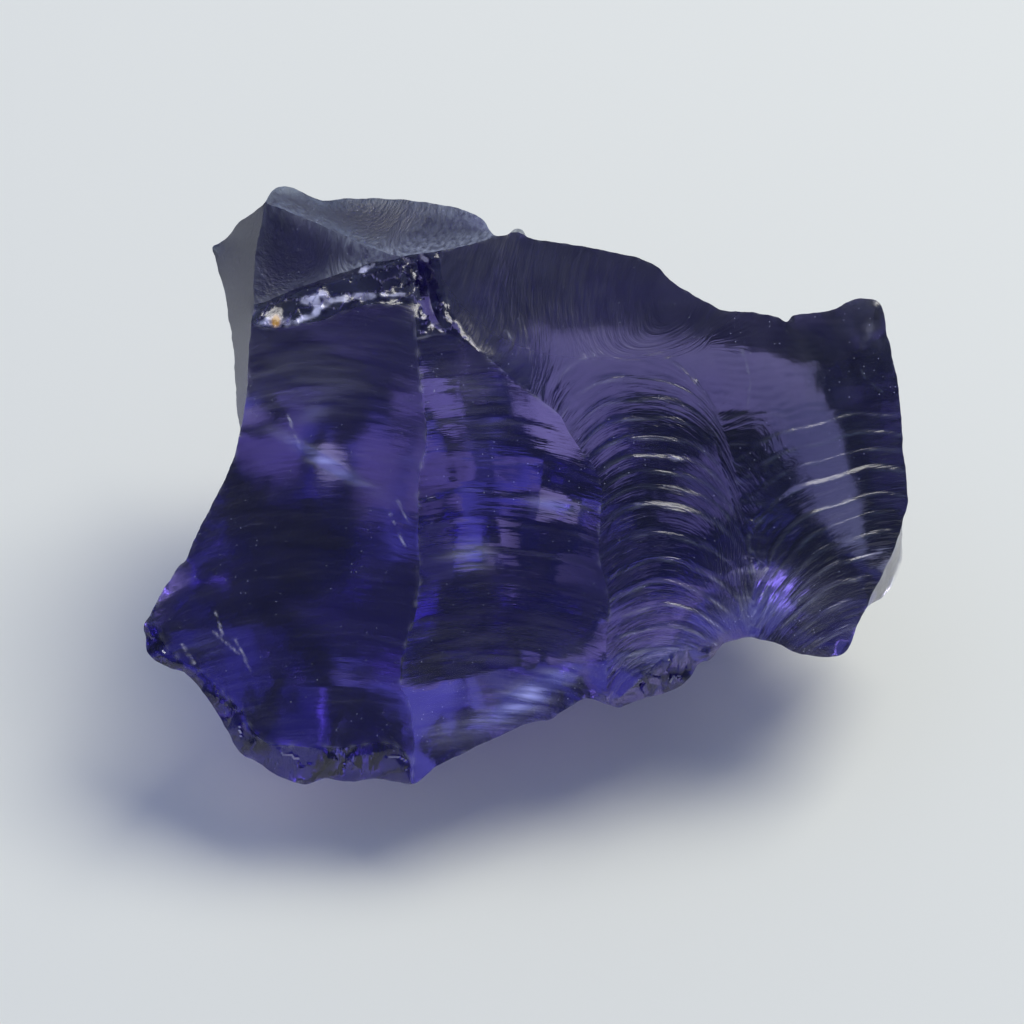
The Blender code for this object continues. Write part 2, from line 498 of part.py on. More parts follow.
def hang(places, triangles, heights, fixed, pull):
    """Heights of a sheet that hangs on its fixed points and is drawn down by `pull`."""
    half_edges, weights, area = corner_weights(places, triangles)
    a, b = half_edges.T
    count = len(places)

    def stiffness(values):
        flow = weights * (values[a] - values[b])
        return np.bincount(a, flow, count) - np.bincount(b, flow, count)

    diagonal = np.bincount(a, weights, count) + np.bincount(b, weights, count)
    diagonal = np.maximum(diagonal, 1e-6)
    heights = np.where(fixed, heights, heights[fixed].mean())
    rest = np.where(fixed, 0.0, -area * pull - stiffness(heights))
    scaled = rest / diagonal
    search = scaled.copy()
    power = rest @ scaled
    for _ in range(3000):
        if power < 1e-12:
            break
        drag = np.where(fixed, 0.0, stiffness(search))
        step = power / (search @ drag)
        heights = heights + step * search
        rest = rest - step * drag
        scaled = rest / diagonal
        power, last = rest @ scaled, power
        search = scaled + (power / last) * search
    return heights


def distance_to_lines(places, fixed):
    """Plan distance of each point to the nearest point of a line."""
    tree = KDTree(int(fixed.sum()))
    for index in np.flatnonzero(fixed):
        tree.insert((*places[index], 0.0), int(index))
    tree.balance()
    return np.array([tree.find((u, v, 0.0))[2] for u, v in places])


def make_skin(rim, lines, seeds, ripple_rows, dent_rows, finest, size_of):
    """One skin of the stone: points (u, v, w), triangles and the places of the rim's points."""
    smooth = [smooth_line(line, size_of) for line in lines.values()]
    places, triangles, heights, fixed, kept, rim_index = triangulate(rim, smooth, finest, size_of)
    patch = patch_of_each(triangles, kept)
    share = share_among_seeds(places, triangles, fixed, patch, seeds)
    pull = np.array([value for _, value in seeds.values()]) @ share
    heights = hang(places, triangles, heights, fixed, pull)
    fade = np.clip(distance_to_lines(places, fixed) / RIPPLE_FADE, 0.0, 1.0)
    share = dict(zip(seeds, share))
    for names, *row in ripple_rows:
        own = sum(share[name] for name in names)
        heights += own * fade * ripples(places[:, 0], places[:, 1], *row)
    for name, *row in dent_rows:
        heights += share[name] * fade * dent(places, *row)
    return np.column_stack([places, heights]), triangles, rim_index


# ---------------------------------------------------------------------------------------------
# The stone
# ---------------------------------------------------------------------------------------------
def front_size(u, v):
    """Distance between points of the front skin: fine on the rippled ground."""
    left, top, bottom = RIPPLE_ZONE
    fine = (u > left) & (v < top) & (v > bottom)
    return np.where(fine, FINE_SPACING, 2.0 * FINE_SPACING)


def back_size(u, v):
    """Distance between points of the back skin."""
    return np.full(np.shape(u), 2.0 * FINE_SPACING)


def sew(front, back):
    """One closed mesh of both skins, which share the rim's points."""
    front_points, front_triangles, front_rim = front
    back_points, back_triangles, back_rim = back
    renamed = np.full(len(back_points), -1)
    for known, index in back_rim.items():
        renamed[index] = front_rim[known]
    inner = np.flatnonzero(renamed < 0)
    renamed[inner] = len(front_points) + np.arange(len(inner))
    points = np.vstack([front_points, back_points[inner]])
    triangles = np.vstack([front_triangles, renamed[back_triangles][:, ::-1]])
    return points, triangles


def stand_up(points):
    """The slanting frame's points in the stone's own frame, in metres, on z = 0."""
    u, v, w = points.T
    sine, cosine = math.sin(FACE_TILT), math.cos(FACE_TILT)
    stood = np.column_stack([u, v * sine - w * cosine, v * cosine + w * sine + BASE_DROP]) * MM
    middle = (stood.min(axis=0) + stood.max(axis=0)) / 2.0
    return stood - (middle[0], middle[1], 0.0)


def quartz():
    """Clear violet quartz."""
    material = bpy.data.materials.new("violet quartz")
    material.use_nodes = True
    shader = material.node_tree.nodes["Principled BSDF"]
    shader.inputs["Base Color"].default_value = VIOLET
    shader.inputs["Roughness"].default_value = 0.08
    shader.inputs["IOR"].default_value = QUARTZ_IOR
    shader.inputs["Metallic"].default_value = 0.0
    return material


def add_stone():
    """Build the stone's mesh and put it in the scene."""
    rim = smooth_line(RIM, front_size, closed=True)
    front = make_skin(rim, FRONT_LINES, FRONT_PATCHES, FRONT_RIPPLES, [], FINE_SPACING, front_size)
    back = make_skin(rim, BACK_LINES, BACK_PATCHES, BACK_RIPPLES, BACK_DENTS, FINE_SPACING, back_size)
    points, triangles = sew(front, back)
    mesh = bpy.data.meshes.new(NODE_NAME)
    mesh.from_pydata(stand_up(points).tolist(), [], triangles.tolist())
    mesh.validate()
    mesh.shade_smooth()
    mesh.set_sharp_from_angle(angle=CREASE_ANGLE)
    mesh.materials.append(quartz())
    stone = bpy.data.objects.new(NODE_NAME, mesh)
    bpy.context.scene.collection.objects.link(stone)
    return stone


def main():
    for old in list(bpy.data.objects):
        bpy.data.objects.remove(old, do_unlink=True)
    add_stone()


main()
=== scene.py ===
"""Looks of the rough amethyst: clear violet quartz with broken, rippled faces, on a pale floor.

The stone's mesh is drawn as the solid is, with the same lines, patches and ripples, but far finer:
it adds the fine ripples, the crags of the ledge, the chips along the edges and the worn rim.
"""
import math

import bpy
import numpy as np
from mathutils import Matrix, Vector, noise
from mathutils.geometry import delaunay_2d_cdt
from mathutils.kdtree import KDTree


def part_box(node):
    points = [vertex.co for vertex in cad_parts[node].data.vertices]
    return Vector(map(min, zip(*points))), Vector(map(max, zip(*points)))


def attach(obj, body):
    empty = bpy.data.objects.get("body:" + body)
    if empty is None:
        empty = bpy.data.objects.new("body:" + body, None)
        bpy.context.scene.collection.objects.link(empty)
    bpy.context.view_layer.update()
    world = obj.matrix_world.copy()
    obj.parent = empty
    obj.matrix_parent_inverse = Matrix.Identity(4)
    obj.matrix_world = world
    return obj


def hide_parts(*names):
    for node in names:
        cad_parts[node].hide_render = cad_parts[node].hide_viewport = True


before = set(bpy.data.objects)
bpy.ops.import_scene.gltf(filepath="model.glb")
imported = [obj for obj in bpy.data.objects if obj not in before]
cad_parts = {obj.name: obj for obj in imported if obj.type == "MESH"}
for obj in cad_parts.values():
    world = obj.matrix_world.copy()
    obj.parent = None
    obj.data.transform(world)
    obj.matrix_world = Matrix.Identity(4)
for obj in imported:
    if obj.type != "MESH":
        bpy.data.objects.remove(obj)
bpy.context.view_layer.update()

NODE_NAME = "rough_amethyst"
MM = 0.001
FACE_TILT = math.radians(52.0)  # slope of the broad face against the floor's normal
SINE, COSINE = math.sin(FACE_TILT), math.cos(FACE_TILT)
BASE_DROP = 12.0  # level of the base facet under the slanting frame's origin
CREASE_ANGLE = math.radians(38.0)  # sharper edges than this stay crisp
MERGE_DISTANCE = 1e-4  # points of two lines closer than this are one

# ---- The rim, clockwise from the upper left tip: (u, v, w) ----
LEFT_SHOULDER = (-10.35, 11.45, -2)
SADDLE = (-1.1, 10.1, -1.4)
RIGHT_WAIST = (15.1, -1.3, -3)
RIGHT_HEEL = (13.65, -4.7, -2.7)
NOTCH = (8.95, -5.85, -1.5)
STEP_RIGHT = (7.85, -6.15, -1.6)
STEP_LEFT = (3.3, -8.5, -1.6)
LOW_POINT = (-4.5, -11.65, -1)
LOW_LEFT = (-11.85, -9.55, -1.3)
LEFT_WAIST = (-11.3, 2.2, -0.5)
LEFT_CORNER = (-12.65, 9.85, -5.8)

RIM = [
    LEFT_SHOULDER, (-10.1, 12, -2.9), (-9.85, 12.15, -3.3), (-9.4, 12.15, -3.5),
    (-9, 12, -3.6), (-8.15, 11.65, -3.6), (-7, 11.7, -3.8), (-5, 11.7, -3.8),
    (-4, 11.55, -3.6), (-2.8, 11.35, -3.3), (-1.85, 10.95, -2.7), (-1.35, 10.3, -1.8), SADDLE,
    (-0.7, 10.15, -1.4), (-0.4, 10.4, -1.5), (-0.15, 10.35, -1.4), (0.1, 10.05, -1.2),
    (0.6, 9.9, -1.1), (2.2, 9.7, -0.9), (3.35, 9.45, -0.85), (5, 9, -0.7),
    (5.75, 8.35, -0.75), (6.55, 7.8, -0.8), (7.35, 7.35, -0.85), (7.8, 7.15, -0.9),
    (8.9, 7.05, -1), (10, 6.9, -1.2), (10.4, 6.7, -1.3), (10.65, 6.95, -1.4),
    (11.7, 7.05, -1.6), (12.45, 7.25, -1.8), (12.85, 7.5, -2), (13.25, 7.65, -2.2),
    (13.75, 7.65, -2.4), (14.1, 7.55, -2.5),
    (14.25, 7.25, -2.4), (14.45, 6.4, -2.5), (14.8, 4.7, -2.6), (15, 3.6, -2.7),
    (15.05, 2.4, -2.7), (15.25, 0.4, -2.9), (15.3, -0.5, -2.9), RIGHT_WAIST,
    (15.3, -2.05, -6), (15.3, -2.85, -6.6), (15.05, -3.65, -6.6), (14.55, -4.25, -5.8),
    RIGHT_HEEL, (13.3, -5.4, -2.6), (12.9, -6.3, -2.4), (12.6, -6.6, -2.4), (12.1, -6.65, -2.3),
    (10.75, -6.45, -1.9), (10.15, -6.15, -1.8), (9.25, -5.9, -1.6),
    NOTCH, (8.25, -6, -1.5), STEP_RIGHT, (7.6, -6.45, -1.8), (7.35, -6.75, -1.9),
    (6.95, -6.9, -2), (6.6, -7.45, -2.2), (6.2, -7.8, -2.3), (5.6, -8.1, -2.4),
    (4.6, -8.35, -2.3), (3.8, -8.65, -2), STEP_LEFT, (2.6, -8.3, -1.3), (2.2, -8.35, -1.3),
    (1.4, -8.85, -1.4), (1.05, -9.1, -1.3), (0.2, -9.2, -1.1), (-1, -9.75, -0.9),
    (-2.4, -10.4, -0.75), (-3.5, -10.95, -0.7), (-3.85, -11.25, -0.8), LOW_POINT,
    (-5.75, -11.5, -1.5), (-7.15, -11.6, -1.6), (-7.95, -11.5, -1.7), (-8.85, -11.7, -1.8),
    (-9.75, -11.4, -1.7), (-10.75, -10.75, -1.6), (-11.35, -10.4, -1.5),
    LOW_LEFT, (-12.1, -9.05, -1.2), (-12.7, -8.1, -1), (-13.55, -7.2, -1),
    (-14.1, -7.05, -1), (-14.9, -6.55, -1), (-15.1, -5.75, -1.1), (-15.15, -5.35, -1.1),
    (-14.85, -4.85, -1), (-14.3, -3.95, -0.8), (-13.7, -3, -0.7), (-13.5, -2.85, -0.65),
    (-13.15, -2.05, -0.6), (-12.2, -0.2, -0.5), (-11.65, 1, -0.5), LEFT_WAIST,
    (-11.4, 2.75, -2), (-11.6, 3.7, -3.9), (-11.75, 5.75, -4.8), (-12.1, 7.8, -5.5),
    (-12.55, 9.45, -5.8), LEFT_CORNER, (-12.35, 10, -5.7), (-12, 10.25, -5.3),
    (-11.6, 10.7, -4.7), (-10.95, 11.1, -3.2),
]

# ---- Ridges, valleys and steps of the front skin ----
LEDGE_LEFT_FOOT = (-10.85, 6.65, -0.8)
LEDGE_LEFT_TOP = (-10.8, 7.4, -1.6)
LEDGE_RIGHT_FOOT = (-4.4, 7.3, -0.5)
STONE_HEAD = (-4.95, 9.3, -1.5)
SCAR_CORNER = (-1.8, 5.45, 0)
FLUTE_HEAD = (3.05, -0.5, -0.3)
BEVEL_LEFT = (-11.3, -8.7, -0.9)
CHIP_TOP = (-3.4, 9.5, -1.3)
CHIP_FOOT = (-3.1, 6.2, -0.15)

FRONT_LINES = {
    "left edge": [
        LEFT_WAIST, (-11.05, 3.55, -0.5), (-10.95, 4.95, -0.5), LEDGE_LEFT_FOOT, LEDGE_LEFT_TOP,
        (-10.8, 8.55, -1.9), (-10.7, 9.6, -2), LEFT_SHOULDER],
    "right edge": [
        RIGHT_WAIST, (14.85, -2.2, -3), (14.6, -2.8, -3), (13.95, -4, -2.8), RIGHT_HEEL],
    "top facet's lower edge": [
        LEFT_SHOULDER, (-8.9, 10.9, -1.95), (-7.35, 10.2, -1.85), (-6.1, 9.65, -1.7), STONE_HEAD],
    "top facet's right edge": [
        STONE_HEAD, (-4.1, 9.4, -1.35), CHIP_TOP, (-2.2, 9.75, -1.35), SADDLE],
    "ledge's foot": [
        LEDGE_LEFT_FOOT, (-10.1, 6.4, -0.45), (-9.3, 6.55, -0.25), (-8.1, 6.7, -0.15),
        (-7.1, 7.15, -0.15), (-5.7, 7.35, -0.2), LEDGE_RIGHT_FOOT],
    "ledge's top": [
        LEDGE_LEFT_TOP, (-10.1, 7.6, -1.7), (-9.3, 7.95, -1.8), (-7.55, 8.55, -1.8),
        (-6.1, 9.05, -1.75), (-5.2, 9.2, -1.6), STONE_HEAD],
    "chip's left edge": [
        STONE_HEAD, (-4.5, 8.95, -1.5), (-4.4, 7.95, -0.9), LEDGE_RIGHT_FOOT],
    "shoulder": [
        LEDGE_RIGHT_FOOT, (-4.35, 6.7, -0.25), (-4.3, 6, -0.05)],
    "chip's trough": [
        (-4, 9.1, -1.75), (-3.85, 7.9, -1.35), (-3.6, 7, -0.8), CHIP_FOOT],
    "chip's right edge": [
        CHIP_TOP, (-3.2, 7.9, -0.9), (-2.7, 6.7, -0.45), SCAR_CORNER],
    "long ridge": [
        (-4.3, 6, -0.05), (-4.15, 4.35, 0.2), (-3.9, 1.95, 0.35), (-4.2, 0.5, 0.4),
        (-4.2, -3.45, 0.3), (-4.3, -4.8, 0.2), (-4.65, -5.85, 0.1), (-4.95, -7.65, -0.1),
        (-4.6, -8.4, -0.2), (-4.4, -10.05, -0.5), LOW_POINT],
    "scar's upper edge": [
        (-4.3, 6, -0.05), CHIP_FOOT, (-2.5, 5.9, -0.1), SCAR_CORNER,
        (-0.2, 4.2, 0.1), (1.4, 2.9, 0), (1.75, 2.2, -0.05), (2.95, 0.5, -0.2), FLUTE_HEAD],
    "flute's left edge": [
        FLUTE_HEAD, (2.95, -1.65, -0.4), (2.95, -2.6, -0.5), (3.4, -4.65, -0.7),
        (3.25, -5.9, -0.8), (3.25, -8, -1.1), STEP_LEFT],
    "valley": [
        (6.75, 4.25, -0.45), (7.1, 3.55, -0.6), (7.4, 2.35, -0.8), (7.95, 0.4, -1.05),
        (8.3, -0.8, -1.1), (9, -2.8, -1.3), (9.15, -3.5, -1.35), (9, -4.35, -1.4), NOTCH],
    "bottom bevel": [
        LOW_LEFT, BEVEL_LEFT, (-10.7, -9.7, -0.75), (-10.1, -10.05, -0.7),
        (-8.9, -10.15, -0.65), (-7.3, -10.2, -0.65), (-5.5, -10, -0.55), (-4.6, -10.7, -0.65),
        LOW_POINT],
    "left bevel": [
        BEVEL_LEFT, (-12.1, -7.85, -0.75), (-13, -7.1, -0.7), (-14.1, -6.4, -0.75),
        (-14.6, -5.5, -0.8), (-14.75, -4.95, -0.9), (-14.3, -3.95, -0.8)],
    "broken step": [
        STEP_LEFT, (3.95, -8.1, -1.1), (4.75, -7.35, -1.15), (5.35, -6.75, -1.2),
        (6.15, -6.4, -1.25), (6.95, -6.25, -1.3), STEP_RIGHT],
}

# Patches: a point inside, the pull that makes the patch hollow (+) or full (-), in 1/mm, how
# frosted it is, from 0 (glassy) to 1, how dark its tint makes what shines through, partly dirt
# in tiny cracks and partly painted shade that dims the windows, and on the front how much
# light it scatters back
FROST, DIRT_AND_SHADE, HAZE = 2, 3, 4
FRONT_PATCHES = {
    "left bowl": ((-8, 0), 0.075, 0.55, 0, 0.005),
    "scar": ((0, -2), 0.085, 0.22, 0, 0.004),
    "scar foot": ((-0.4, -8.4), 0.085, 0.36, 0, 0.02),
    "flute head": ((4.4, 3.6), -0.03, 0.22, 0.6, 0.015),
    "flute": ((5.5, -2), -0.12, 0.26, 0.8, 0.015),
    "flute foot": ((6.2, -5.8), -0.12, 0.18, 0, 0.03),
    "right lobe": ((12, -1), -0.05, 0.4, 1, 0.035),
    "lobe foot": ((11, -5.2), -0.05, 0.3, 0.38, 0.05),
    "upper facet": ((4, 6.8), 0.015, 0.7, 0.6, 0.02),
    "ledge": ((-8, 7.5), -0.1, 0.32, 0.9, 0.02),
    "recess": ((-8.8, 9.3), 0.1, 0.7, 0.8, 0.01),
    "recess foot": ((-6.8, 8.95), 0.1, 0.8, 0.75, 0.06),
    "top facet": ((-6, 11), 0.55, 0.9, 0.97, 0.008),
    "top facet foot": ((-4.6, 9.9), 0.55, 0.85, 0.8, 0.12),
    "chip left": ((-4.2, 8), 0, 0.2, 0.75, 0),
    "chip right": ((-3.5, 8.2), 0, 0.2, 0.75, 0),
    "left flank": ((-11.3, 7), 0, 0.85, 0.95, 0.045),
    "right flank": ((15.1, -2.8), 0, 0.4, 0, 0),
    "bottom bevel": ((-8, -10.9), 0.05, 0.15, 0, 0),
    "left bevel": ((-14.6, -6.5), 0, 0.2, 0, 0),
    "broken step": ((5.6, -7.4), 0.3, 0.3, 0.65, 0),
}

# ---- The back skin: the base facet and the ridges around it ----
def base_depth(v):
    """Depth of the level plane that carries the base facet, at height v on the face."""
    return -(BASE_DROP + v * COSINE) / SINE


def on_base(u, v):
    """A point of the base facet."""
    return (u, v, base_depth(v))


BASE_LEFT = on_base(-9, -5.2)
BASE_TOP = on_base(-4.4, -3.2)
BASE_GROOVE = on_base(0.6, -3.2)
BASE_RIGHT = on_base(3.4, -4.6)
BASE_LOW_RIGHT = on_base(2.4, -5.7)
BASE_LOW_LEFT = on_base(-7.6, -6.4)
BASE_OUTLINE = [
    BASE_LEFT, on_base(-6.8, -3.7), BASE_TOP, on_base(-1.6, -3.1), BASE_GROOVE, BASE_RIGHT,
    BASE_LOW_RIGHT, on_base(0, -6.3), on_base(-4, -6.6), BASE_LOW_LEFT,
]

CREST_MIDDLE = (-2.8, 3.7, -12.9)
CREST_GROOVE = (0.4, 6, -9.4)
CREST_RIGHT = (9.3, 5.6, -8.2)
CREST_STRIPE = (11.2, 5, -7.8)
CREST_END = (13.2, 5.6, -5.4)
HEEL = (13.3, -3.4, -6.4)
GROOVE_TOP = (1.6, 3.4, -9.4)
SHELF_RIGHT = (10.2, 2.8, -9.3)
RIB_FOOT = (11, -0.4, -9)
SHELF_MIDDLE = (7, 3.2, -9.8)
LOW_RIB_MIDDLE = (8.4, -1.8, -10.2)
CHIN_LEFT = (-11, -5.5, -7.4)
CHIN_FRONT_RIB = (-7.8, -7.6, -7)
CHIN_LOW_RIB = (3.3, -6.3, -5.6)

BACK_LINES = {
    "base facet": BASE_OUTLINE + [BASE_LEFT],
    "crest": [
        LEFT_CORNER, (-9.8, 7.9, -8), (-5.8, 4.9, -11.5), CREST_MIDDLE,
        CREST_GROOVE, (2.4, 6.1, -8.6), (6.2, 5.9, -8.4), CREST_RIGHT, CREST_STRIPE,
        CREST_END, (14.45, 6.4, -2.5)],
    "upper rib": [CREST_MIDDLE, (-1.9, 7.2, -9.4), (-1.2, 9.2, -4.8), (-0.7, 10.15, -1.4)],
    "corner rib": [CREST_END, (13.75, 6.8, -4.6), (14.1, 7.55, -2.5)],
    "keel": [CREST_MIDDLE, (-3.3, 2.2, -13.6), (-3.7, 0, -13.8), BASE_TOP],
    "shelf": [CREST_GROOVE, GROOVE_TOP, (4.2, 3.4, -10), SHELF_MIDDLE, SHELF_RIGHT],
    "third keel": [
        SHELF_MIDDLE, (7.6, 1.4, -12.2), (8.4, 0.2, -12.4), (8.6, -1, -11.4), LOW_RIB_MIDDLE],
    "groove": [GROOVE_TOP, (1, 1.6, -8.8), (0.6, -0.6, -9.2), BASE_GROOVE],
    "second keel": [
        (4.2, 3.4, -10), (4.9, 2.2, -12.2), (5.2, 0.4, -12.8), (5, -2.4, -12.6), BASE_RIGHT],
    "right rib": [CREST_RIGHT, SHELF_RIGHT, RIB_FOOT, (11.9, -1.9, -7.8), HEEL],
    "stripe": [
        CREST_STRIPE, (12.1, 2.4, -8.8), (12.8, 0, -8.4), (13.1, -1.8, -7.6), HEEL],
    "spur": [HEEL, (15.3, -2.85, -6.6)],
    "heel rib": [HEEL, (13.2, -5, -4.4), (12.6, -6.6, -2.4)],
    "low right rib": [BASE_RIGHT, (5.5, -3.4, -11.4), LOW_RIB_MIDDLE, RIB_FOOT],
    "chin": [
        CHIN_LEFT, (-9.4, -7, -7.2), CHIN_FRONT_RIB, (-4.6, -7.6, -5.2), (-2.2, -7.3, -2.7),
        (0, -6.9, -3.3), (1.6, -6.7, -4), CHIN_LOW_RIB, (5.6, -4.5, -6.8), (8.6, -3, -5),
        (11.2, -3.1, -5.6), HEEL],
    "low rib": [BASE_LOW_RIGHT, CHIN_LOW_RIB, (4.6, -7.4, -4.1), (5.6, -8.1, -2.4)],
    "front rib": [BASE_LOW_LEFT, CHIN_FRONT_RIB, (-8, -10.4, -3.4), (-7.95, -11.5, -1.7)],
    "left keel": [BASE_LEFT, CHIN_LEFT, (-13.1, -5.6, -4), (-15.1, -5.75, -1.1)],
}

GLASSY = 0.15  # frost of the plain back patches
# back patches: a point inside, the pull, the frost, and how dark the painted shade makes what
# shines through the windows
BACK_PATCHES = {
    "base": ((-2, -4.8), 0, GLASSY, 0),
    "upper left": ((-6, 9.4), 0.02, 0.5, 0.6),
    "upper right": ((5, 7.6), 0.03, 0.55, 0.6),
    "window": ((4, 4.6), 0, 0.45, 0.43),
    "back left": ((-7.8, 2), 0.02, GLASSY, 0),
    "back middle": ((-1.4, 1), 0.02, GLASSY, 0.2),
    "back right": ((3, 0), 0.02, GLASSY, 0.2),
    "far right": ((6.4, 0.6), 0.02, GLASSY, 0.35),
    "rib flank": ((9.8, 0.8), 0.02, GLASSY, 0.35),
    "stripe": ((11.9, 1.2), 0, GLASSY, 0.28),
    "right end": ((14.4, 1), 0.03, 0.3, 0),
    "low right": ((9, -4.4), 0, GLASSY, 0),
    "low front": ((-1.5, -8.6), 0, GLASSY, 0),
    "low left": ((-10.5, -8.6), 0, GLASSY, 0),
    "undercut": ((7.2, -2.8), 0, GLASSY, 0),
}

# ---- Conchoidal ripples: arcs that march across a patch, each with a short steep side ----
# arcs: distance marched where each ripple starts, and its height
FLUTE_ARCS = (
    (0, 0.06), (1.1, 0.05), (2, 0.06), (2.7, 0.08), (3.5, 0.09), (4.25, 0.13),
    (4.9, 0.08), (5.5, 0.085), (6.15, 0.14), (7.3, 0.08), (8.4, 0.09), (9.3, 0.08),
    (10.2, 0.08), (11, 0.07), (11.9, 0.07), (12.7, 0))
LOBE_ARCS = (
    (0, 0.08), (0.7, 0.06), (1.4, 0.05), (2.1, 0.13), (3.2, 0.1), (3.9, 0.06),
    (4.7, 0.09), (5.5, 0.07), (6.3, 0.07), (7.2, 0.06), (8.2, 0.06), (9.3, 0))
SCAR_ARCS = (
    (0, 0.04), (1.5, 0.045), (3.1, 0.05), (4.4, 0.07), (5.6, 0.05), (6.7, 0.07),
    (7.9, 0.045), (9.3, 0.04), (10.8, 0.05), (12.2, 0.045), (13.5, 0))
BOWL_ARCS = (
    (0, 0.03), (2.3, 0.04), (4.5, 0.05), (7, 0.045), (9.2, 0.035), (11.6, 0.04),
    (14.2, 0.035), (16.8, 0))
BACK_ARCS = (
    (0, 0.1), (1.7, 0.12), (3.1, 0.11), (4.9, 0.14), (6.4, 0.12), (8.3, 0.14), (9.9, 0.1),
    (11.8, 0))
CHIN_ARCS = (
    (0, 0.06), (1.1, 0.08), (2, 0.06), (3.1, 0.08), (4, 0.06), (5.2, 0))
# patches, apex of the first arc (u, v), sideways drift of the apex, radius there, change of the
# radius for each mm marched, least radius, arcs
FRONT_RIPPLES = [
    (("flute", "flute head", "flute foot"), (3.8, 5.77), 1.7, 3.75, 0, 1.5, FLUTE_ARCS),
    (("right lobe", "lobe foot"), (14.8, 3.16), 0, 13, -1.7, 6, LOBE_ARCS),
    (("scar", "scar foot"), (-1.5, 4.5), 0, 13, 0, 5, SCAR_ARCS),
    (("left bowl",), (-8, 6.5), 0, 11, 0.3, 5, BOWL_ARCS),
]
BACK_RIPPLES = [
    (("back left",), (-8, 6.5), 0, 7, 0.4, 3, BACK_ARCS),
    (("back middle",), (-1, 5.5), 0, 9, 0.4, 3, BACK_ARCS),
    (("back right",), (3, 5.5), 0, 9, 0.4, 3, BACK_ARCS),
    (("far right", "rib flank"), (8, 5.5), 0, 9, 0.4, 3, BACK_ARCS),
    (("low front",), (-1.5, -6.8), 0, 8, 0.3, 3, CHIN_ARCS),
    (("low left",), (-10, -6), 0, 8, 0.3, 3, CHIN_ARCS),
    (("low right",), (8.5, -2.6), 0, 6, 0.3, 3, CHIN_ARCS),
]
# dents that go into the back: patch, middle (u, v), half width and half height, depth
BACK_DENTS = [
    ("back left", (-6.4, 1), (1.5, 1.5), 2.1),
    ("back middle", (-2.3, -2.4), (1.3, 1), 2.2),
    ("back right", (2.6, -0.75), (1.4, 0.7), 1.9),
]
DRIFT_LENGTH = 3.0  # distance marched in which an apex drifts most of its way
STEEP_SHARE = 0.24  # part of each ripple that is its steep side
RIPPLE_FADE = 0.45  # width over which a ripple dies out towards a ridge


def held(values):
    """The values, held between 0 and 1."""
    return np.clip(values, 0.0, 1.0)


def beside(gap, width):
    """1 on a line, fading to 0 at the given distance from it."""
    return held(1.0 - gap / width)


def ripple_profile(phase):
    """Height from 0 to 1 over one ripple: a short rise, then a long fall."""
    share = phase - np.floor(phase)
    rise = held(share / STEEP_SHARE)
    fall = held((share - STEEP_SHARE) / (1.0 - STEEP_SHARE))
    return (1.0 - np.cos(math.pi * rise)) / 2.0 - (1.0 - np.cos(math.pi * fall)) / 2.0


def marched_distance(u, v, apex, drift, radius, growth, least):
    """How far below the first arc's apex the arc through each point has marched."""
    marched = apex[1] - v
    for _ in range(5):
        reach = np.maximum(radius + growth * marched, least)
        middle = apex[0] + drift * (1.0 - np.exp(-np.maximum(marched, 0.0) / DRIFT_LENGTH))
        side = np.clip((u - middle) / reach, -0.95, 0.95)
        marched = apex[1] - v - reach * (1.0 - np.sqrt(1.0 - side * side))
    return marched


def ripple_phase(u, v, apex, drift, radius, growth, least, marks):
    """How many ripples lie above each point, and how far their arcs have marched there."""
    marched = marched_distance(u, v, apex, drift, radius, growth, least)
    marched = marched + 0.07 * np.sin(1.9 * u + 0.7 * v)
    return np.interp(marched, marks, np.arange(len(marks))), marched


def ripples(u, v, *row, arcs):
    """Ripple heights at the given points, uneven along the arcs."""
    marks, heights = np.array(arcs).T
    phase, _ = ripple_phase(u, v, *row, marks)
    strength = 0.8 + 0.2 * np.sin(1.3 * np.floor(phase) + 0.8 * u)
    return heights[phase.astype(int)] * strength * ripple_profile(phase)


def dent(places, middle, size, depth):
    """Depth of a round or oval dent at the given points."""
    return depth * np.exp(-(((places - np.array(middle)) / size) ** 2).sum(axis=1))


# ---- A skin: lines, lattice, triangles and heights ----
def worn_line(points, spacing, closed=False):
    """Worn points along a smooth curve through the given ones."""
    path = np.array(points, dtype=float)
    before = np.roll(path, 1, axis=0) if closed else np.vstack([path[:1], path[:-1]])
    after = np.roll(path, -1, axis=0) if closed else np.vstack([path[1:], path[-1:]])
    reach = np.linalg.norm(path - before, axis=1) + np.linalg.norm(after - path, axis=1)
    tangent = (after - before) / reach[:, None]
    line = []
    for index in range(len(path) if closed else len(path) - 1):
        start, end = path[index], after[index]
        length = np.linalg.norm((end - start) * (1.0, 1.0, 0.3))
        steps = max(1, round(length / spacing))
        span = np.linalg.norm(end - start)
        pull, push = tangent[index] * span, tangent[(index + 1) % len(path)] * span
        for share in np.arange(steps) / steps:
            line.append(hermite(start, end, pull, push, share))
    if not closed:
        line.append(path[-1])
    return [wander(point) for point in line]


def hermite(start, end, pull, push, share):
    """A point of the cubic curve from start to end with the given end tangents."""
    square, cube = share * share, share ** 3
    return ((2 * cube - 3 * square + 1) * start + (cube - 2 * square + share) * pull
            + (3 * square - 2 * cube) * end + (cube - square) * push)


def inside_rim(points, rim):
    """True for each point that lies inside the closed rim."""
    inside = np.zeros(len(points), dtype=bool)
    for (u0, v0), (u1, v1) in zip(rim, np.roll(rim, -1, axis=0)):
        crosses = (v0 > points[:, 1]) != (v1 > points[:, 1])
        if v1 != v0:
            where = (u1 - u0) * (points[:, 1] - v0) / (v1 - v0) + u0
            inside ^= crosses & (points[:, 0] < where)
    return inside


def plan_tree(places):
    """A tree that finds the place nearest to a point."""
    tree = KDTree(len(places))
    for index, (u, v) in enumerate(places):
        tree.insert((u, v, 0.0), index)
    tree.balance()
    return tree


